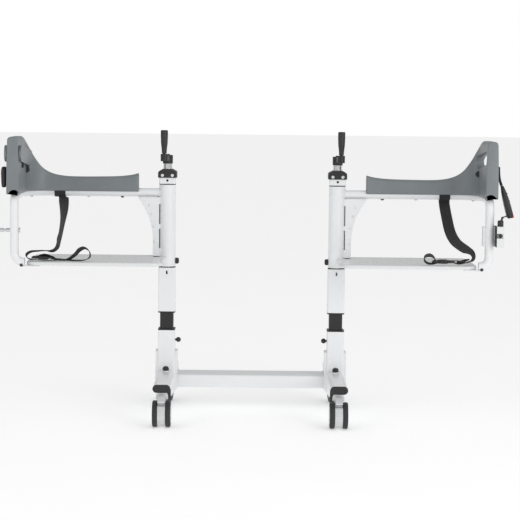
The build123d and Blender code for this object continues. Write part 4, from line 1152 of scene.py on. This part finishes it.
def fittings():
    for side, sign in SIDES:
        screws = bmesh.new()
        for d, y in ((232, 0), (CORNER_D + 56, -26)):
            cap_screw(screws, outward(sign, d, y, ARM_Z - TUBE_R), (0, 0, -1), 4.6, 3.0)
        piece(f"{side}_shell_screws", screws, "zinc_screws", f"{side}_half")
        grub = bmesh.new()
        cap_screw(grub, outward(sign, 0, -16.2, 684), (0, -1, 0), 3.0, 2.0)
        piece(f"{side}_set_screw", grub, "dark_screws", f"{side}_lift")
        hub = bmesh.new()
        cap_screw(hub, outward(sign, 0, 0, 758), (0, 0, 1), 6.2, 3.2)
        cap_screw(hub, outward(sign, -8.0, -12.6, 745.5), (-0.5 * sign, -0.8, 0), 3.0, 1.6)
        piece(f"{side}_hub_screws", hub, "dark_screws", f"{side}_crank")
        glide = bmesh.new()
        for k, z in enumerate((242.6, 244.2)):
            width = 50.6 - 0.5 * k
            outline = rounded_outline(-width / 2, width / 2, -width / 2, width / 2, 5.0, 0.0)
            rings = [[outward(sign, d, y, level) for d, y in outline] for level in (z - 0.35, z + 0.35)]
            loft(glide, rings)
        piece(f"{side}_lower_collar_lips", glide, "black_plastic", "base")
        bolt = bmesh.new()
        for y in (34.0, 66.0):
            cap_screw(bolt, outward(sign, 32.0, y, 90), (sign, 0, 0), 6.5, 3.6)
        piece(f"{side}_bracket_bolts", bolt, "zinc_screws", "base")
    # painted shadow: a thin black block in the gap between the upright tube and the latch case stands in for
    # the shade in that gap
    gap_shade_strip = bmesh.new()
    add_block(gap_shade_strip, HERE, outward(1, 436.1, -250.0, 546.5), (2.2, 51.2, 58.0), 0.6)
    piece("latch_gap_shade_strip", gap_shade_strip, "black_plastic", "right_half")
    case_screw = bmesh.new()
    cap_screw(case_screw, outward(1, 449.0, -276.0, 549.5), (0, -1, 0), 4.4, 2.0)
    cap_screw(case_screw, outward(1, 457.0, -236.0, 531.0), (1, 0, 0), 4.0, 2.2)
    cap_screw(case_screw, outward(1, 457.0, -236.0, 566.0), (1, 0, 0), 4.0, 2.2)
    piece("latch_case_screws", case_screw, "dark_screws", "right_half")


fittings()


# ---- floor, light and camera -----------------------------------------------------------
FLOOR_HALF = 40.0
FLOOR_GLOW = 0.30
SKY_LEVEL = 0.90               # the studio's brightness level with the object
SKY_SLOPE = (0.12, -0.20, -0.16)
LAMPS = (("key", (2.6, -3.6, 1.5), 1.8, 34.0), ("fill", (-2.8, -3.0, 1.8), 2.0, 12.0))


def floor():
    bm = bmesh.new()
    bmesh.ops.create_grid(bm, x_segments=8, y_segments=8, size=FLOOR_HALF)
    mesh = bpy.data.meshes.new("floor")
    bm.to_mesh(mesh)
    bm.free()
    made = bpy.data.objects.new("floor", mesh)
    bpy.context.scene.collection.objects.link(made)
    made.location = (0, 0, FLOOR_Z - 0.0004)
    mat = bpy.data.materials.new("floor")
    mat.use_nodes = True
    tree = mat.node_tree
    tree.nodes.clear()
    out = add_node(tree, "ShaderNodeOutputMaterial")
    diffuse = add_node(tree, "ShaderNodeBsdfDiffuse")
    place = add_node(tree, "ShaderNodeTexCoord").outputs["Object"]
    paper = noise(tree, place, 3.0, 4.0)
    join(tree, mix_colour(tree, paper, (0.90, 0.90, 0.90), (0.93, 0.93, 0.93)), diffuse.inputs[0])
    glow = add_node(tree, "ShaderNodeEmission", None, {"Color": (1, 1, 1, 1), "Strength": FLOOR_GLOW})
    both = add_node(tree, "ShaderNodeAddShader")
    join(tree, diffuse.outputs[0], both.inputs[0])
    join(tree, glow.outputs[0], both.inputs[1])
    join(tree, both.outputs[0], out.inputs[0])
    mesh.materials.append(mat)


def studio():
    world_made = bpy.data.worlds.new("studio")
    bpy.context.scene.world = world_made
    world_made.use_nodes = True
    tree = world_made.node_tree
    tree.nodes.clear()
    out = add_node(tree, "ShaderNodeOutputWorld")
    split = add_node(tree, "ShaderNodeSeparateXYZ")
    join(tree, add_node(tree, "ShaderNodeTexCoord").outputs["Generated"], split.inputs[0])
    level = SKY_LEVEL
    for socket, slope in zip(split.outputs, SKY_SLOPE):
        level = math_node(tree, "ADD", level, math_node(tree, "MULTIPLY", socket, slope))
    light = add_node(tree, "ShaderNodeBackground")
    join(tree, level, light.inputs["Strength"])
    backdrop = add_node(tree, "ShaderNodeBackground", None, {"Strength": 1.0})
    backdrop.inputs[0].default_value = (1, 1, 1, 1)
    rays = add_node(tree, "ShaderNodeLightPath")
    pick = add_node(tree, "ShaderNodeMixShader")
    join(tree, rays.outputs["Is Camera Ray"], pick.inputs[0])
    join(tree, light.outputs[0], pick.inputs[1])
    join(tree, backdrop.outputs[0], pick.inputs[2])
    join(tree, pick.outputs[0], out.inputs[0])
    for name, place, size, power in LAMPS:
        lamp = bpy.data.lights.new(name, "AREA")
        lamp.shape = "SQUARE"
        lamp.size = size
        lamp.energy = power
        made = bpy.data.objects.new(name, lamp)
        bpy.context.scene.collection.objects.link(made)
        made.location = place
        aim = Vector((0.0, 0.0, 0.35)) - made.location
        made.rotation_euler = aim.to_track_quat("-Z", "Y").to_euler()


CAMERA_AT = (4.0, -5350.0, 930.0)
YAW, PITCH, ROLL = -0.0038, 0.0894, 0.0109
LENS, SENSOR = 125.7, 36.0


def camera():
    yaw, pitch, roll = YAW, PITCH, ROLL
    right = Vector((math.cos(yaw), math.sin(yaw), 0.0))
    level = Vector((-math.sin(yaw), math.cos(yaw), 0.0))
    forward = level * math.cos(pitch) - Vector((0, 0, 1)) * math.sin(pitch)
    up = level * math.sin(pitch) + Vector((0, 0, 1)) * math.cos(pitch)
    tilted_right = right * math.cos(roll) + up * math.sin(roll)
    tilted_up = up * math.cos(roll) - right * math.sin(roll)
    data = bpy.data.cameras.new("camera")
    data.sensor_width = SENSOR
    data.lens = LENS
    data.clip_start, data.clip_end = 0.1, 200.0
    made = bpy.data.objects.new("camera", data)
    bpy.context.scene.collection.objects.link(made)
    made.matrix_world = basis(world(CAMERA_AT), tilted_right, tilted_up, -forward)
    bpy.context.scene.camera = made


floor()
studio()
camera()
bpy.context.scene.view_settings.view_transform = "Standard"
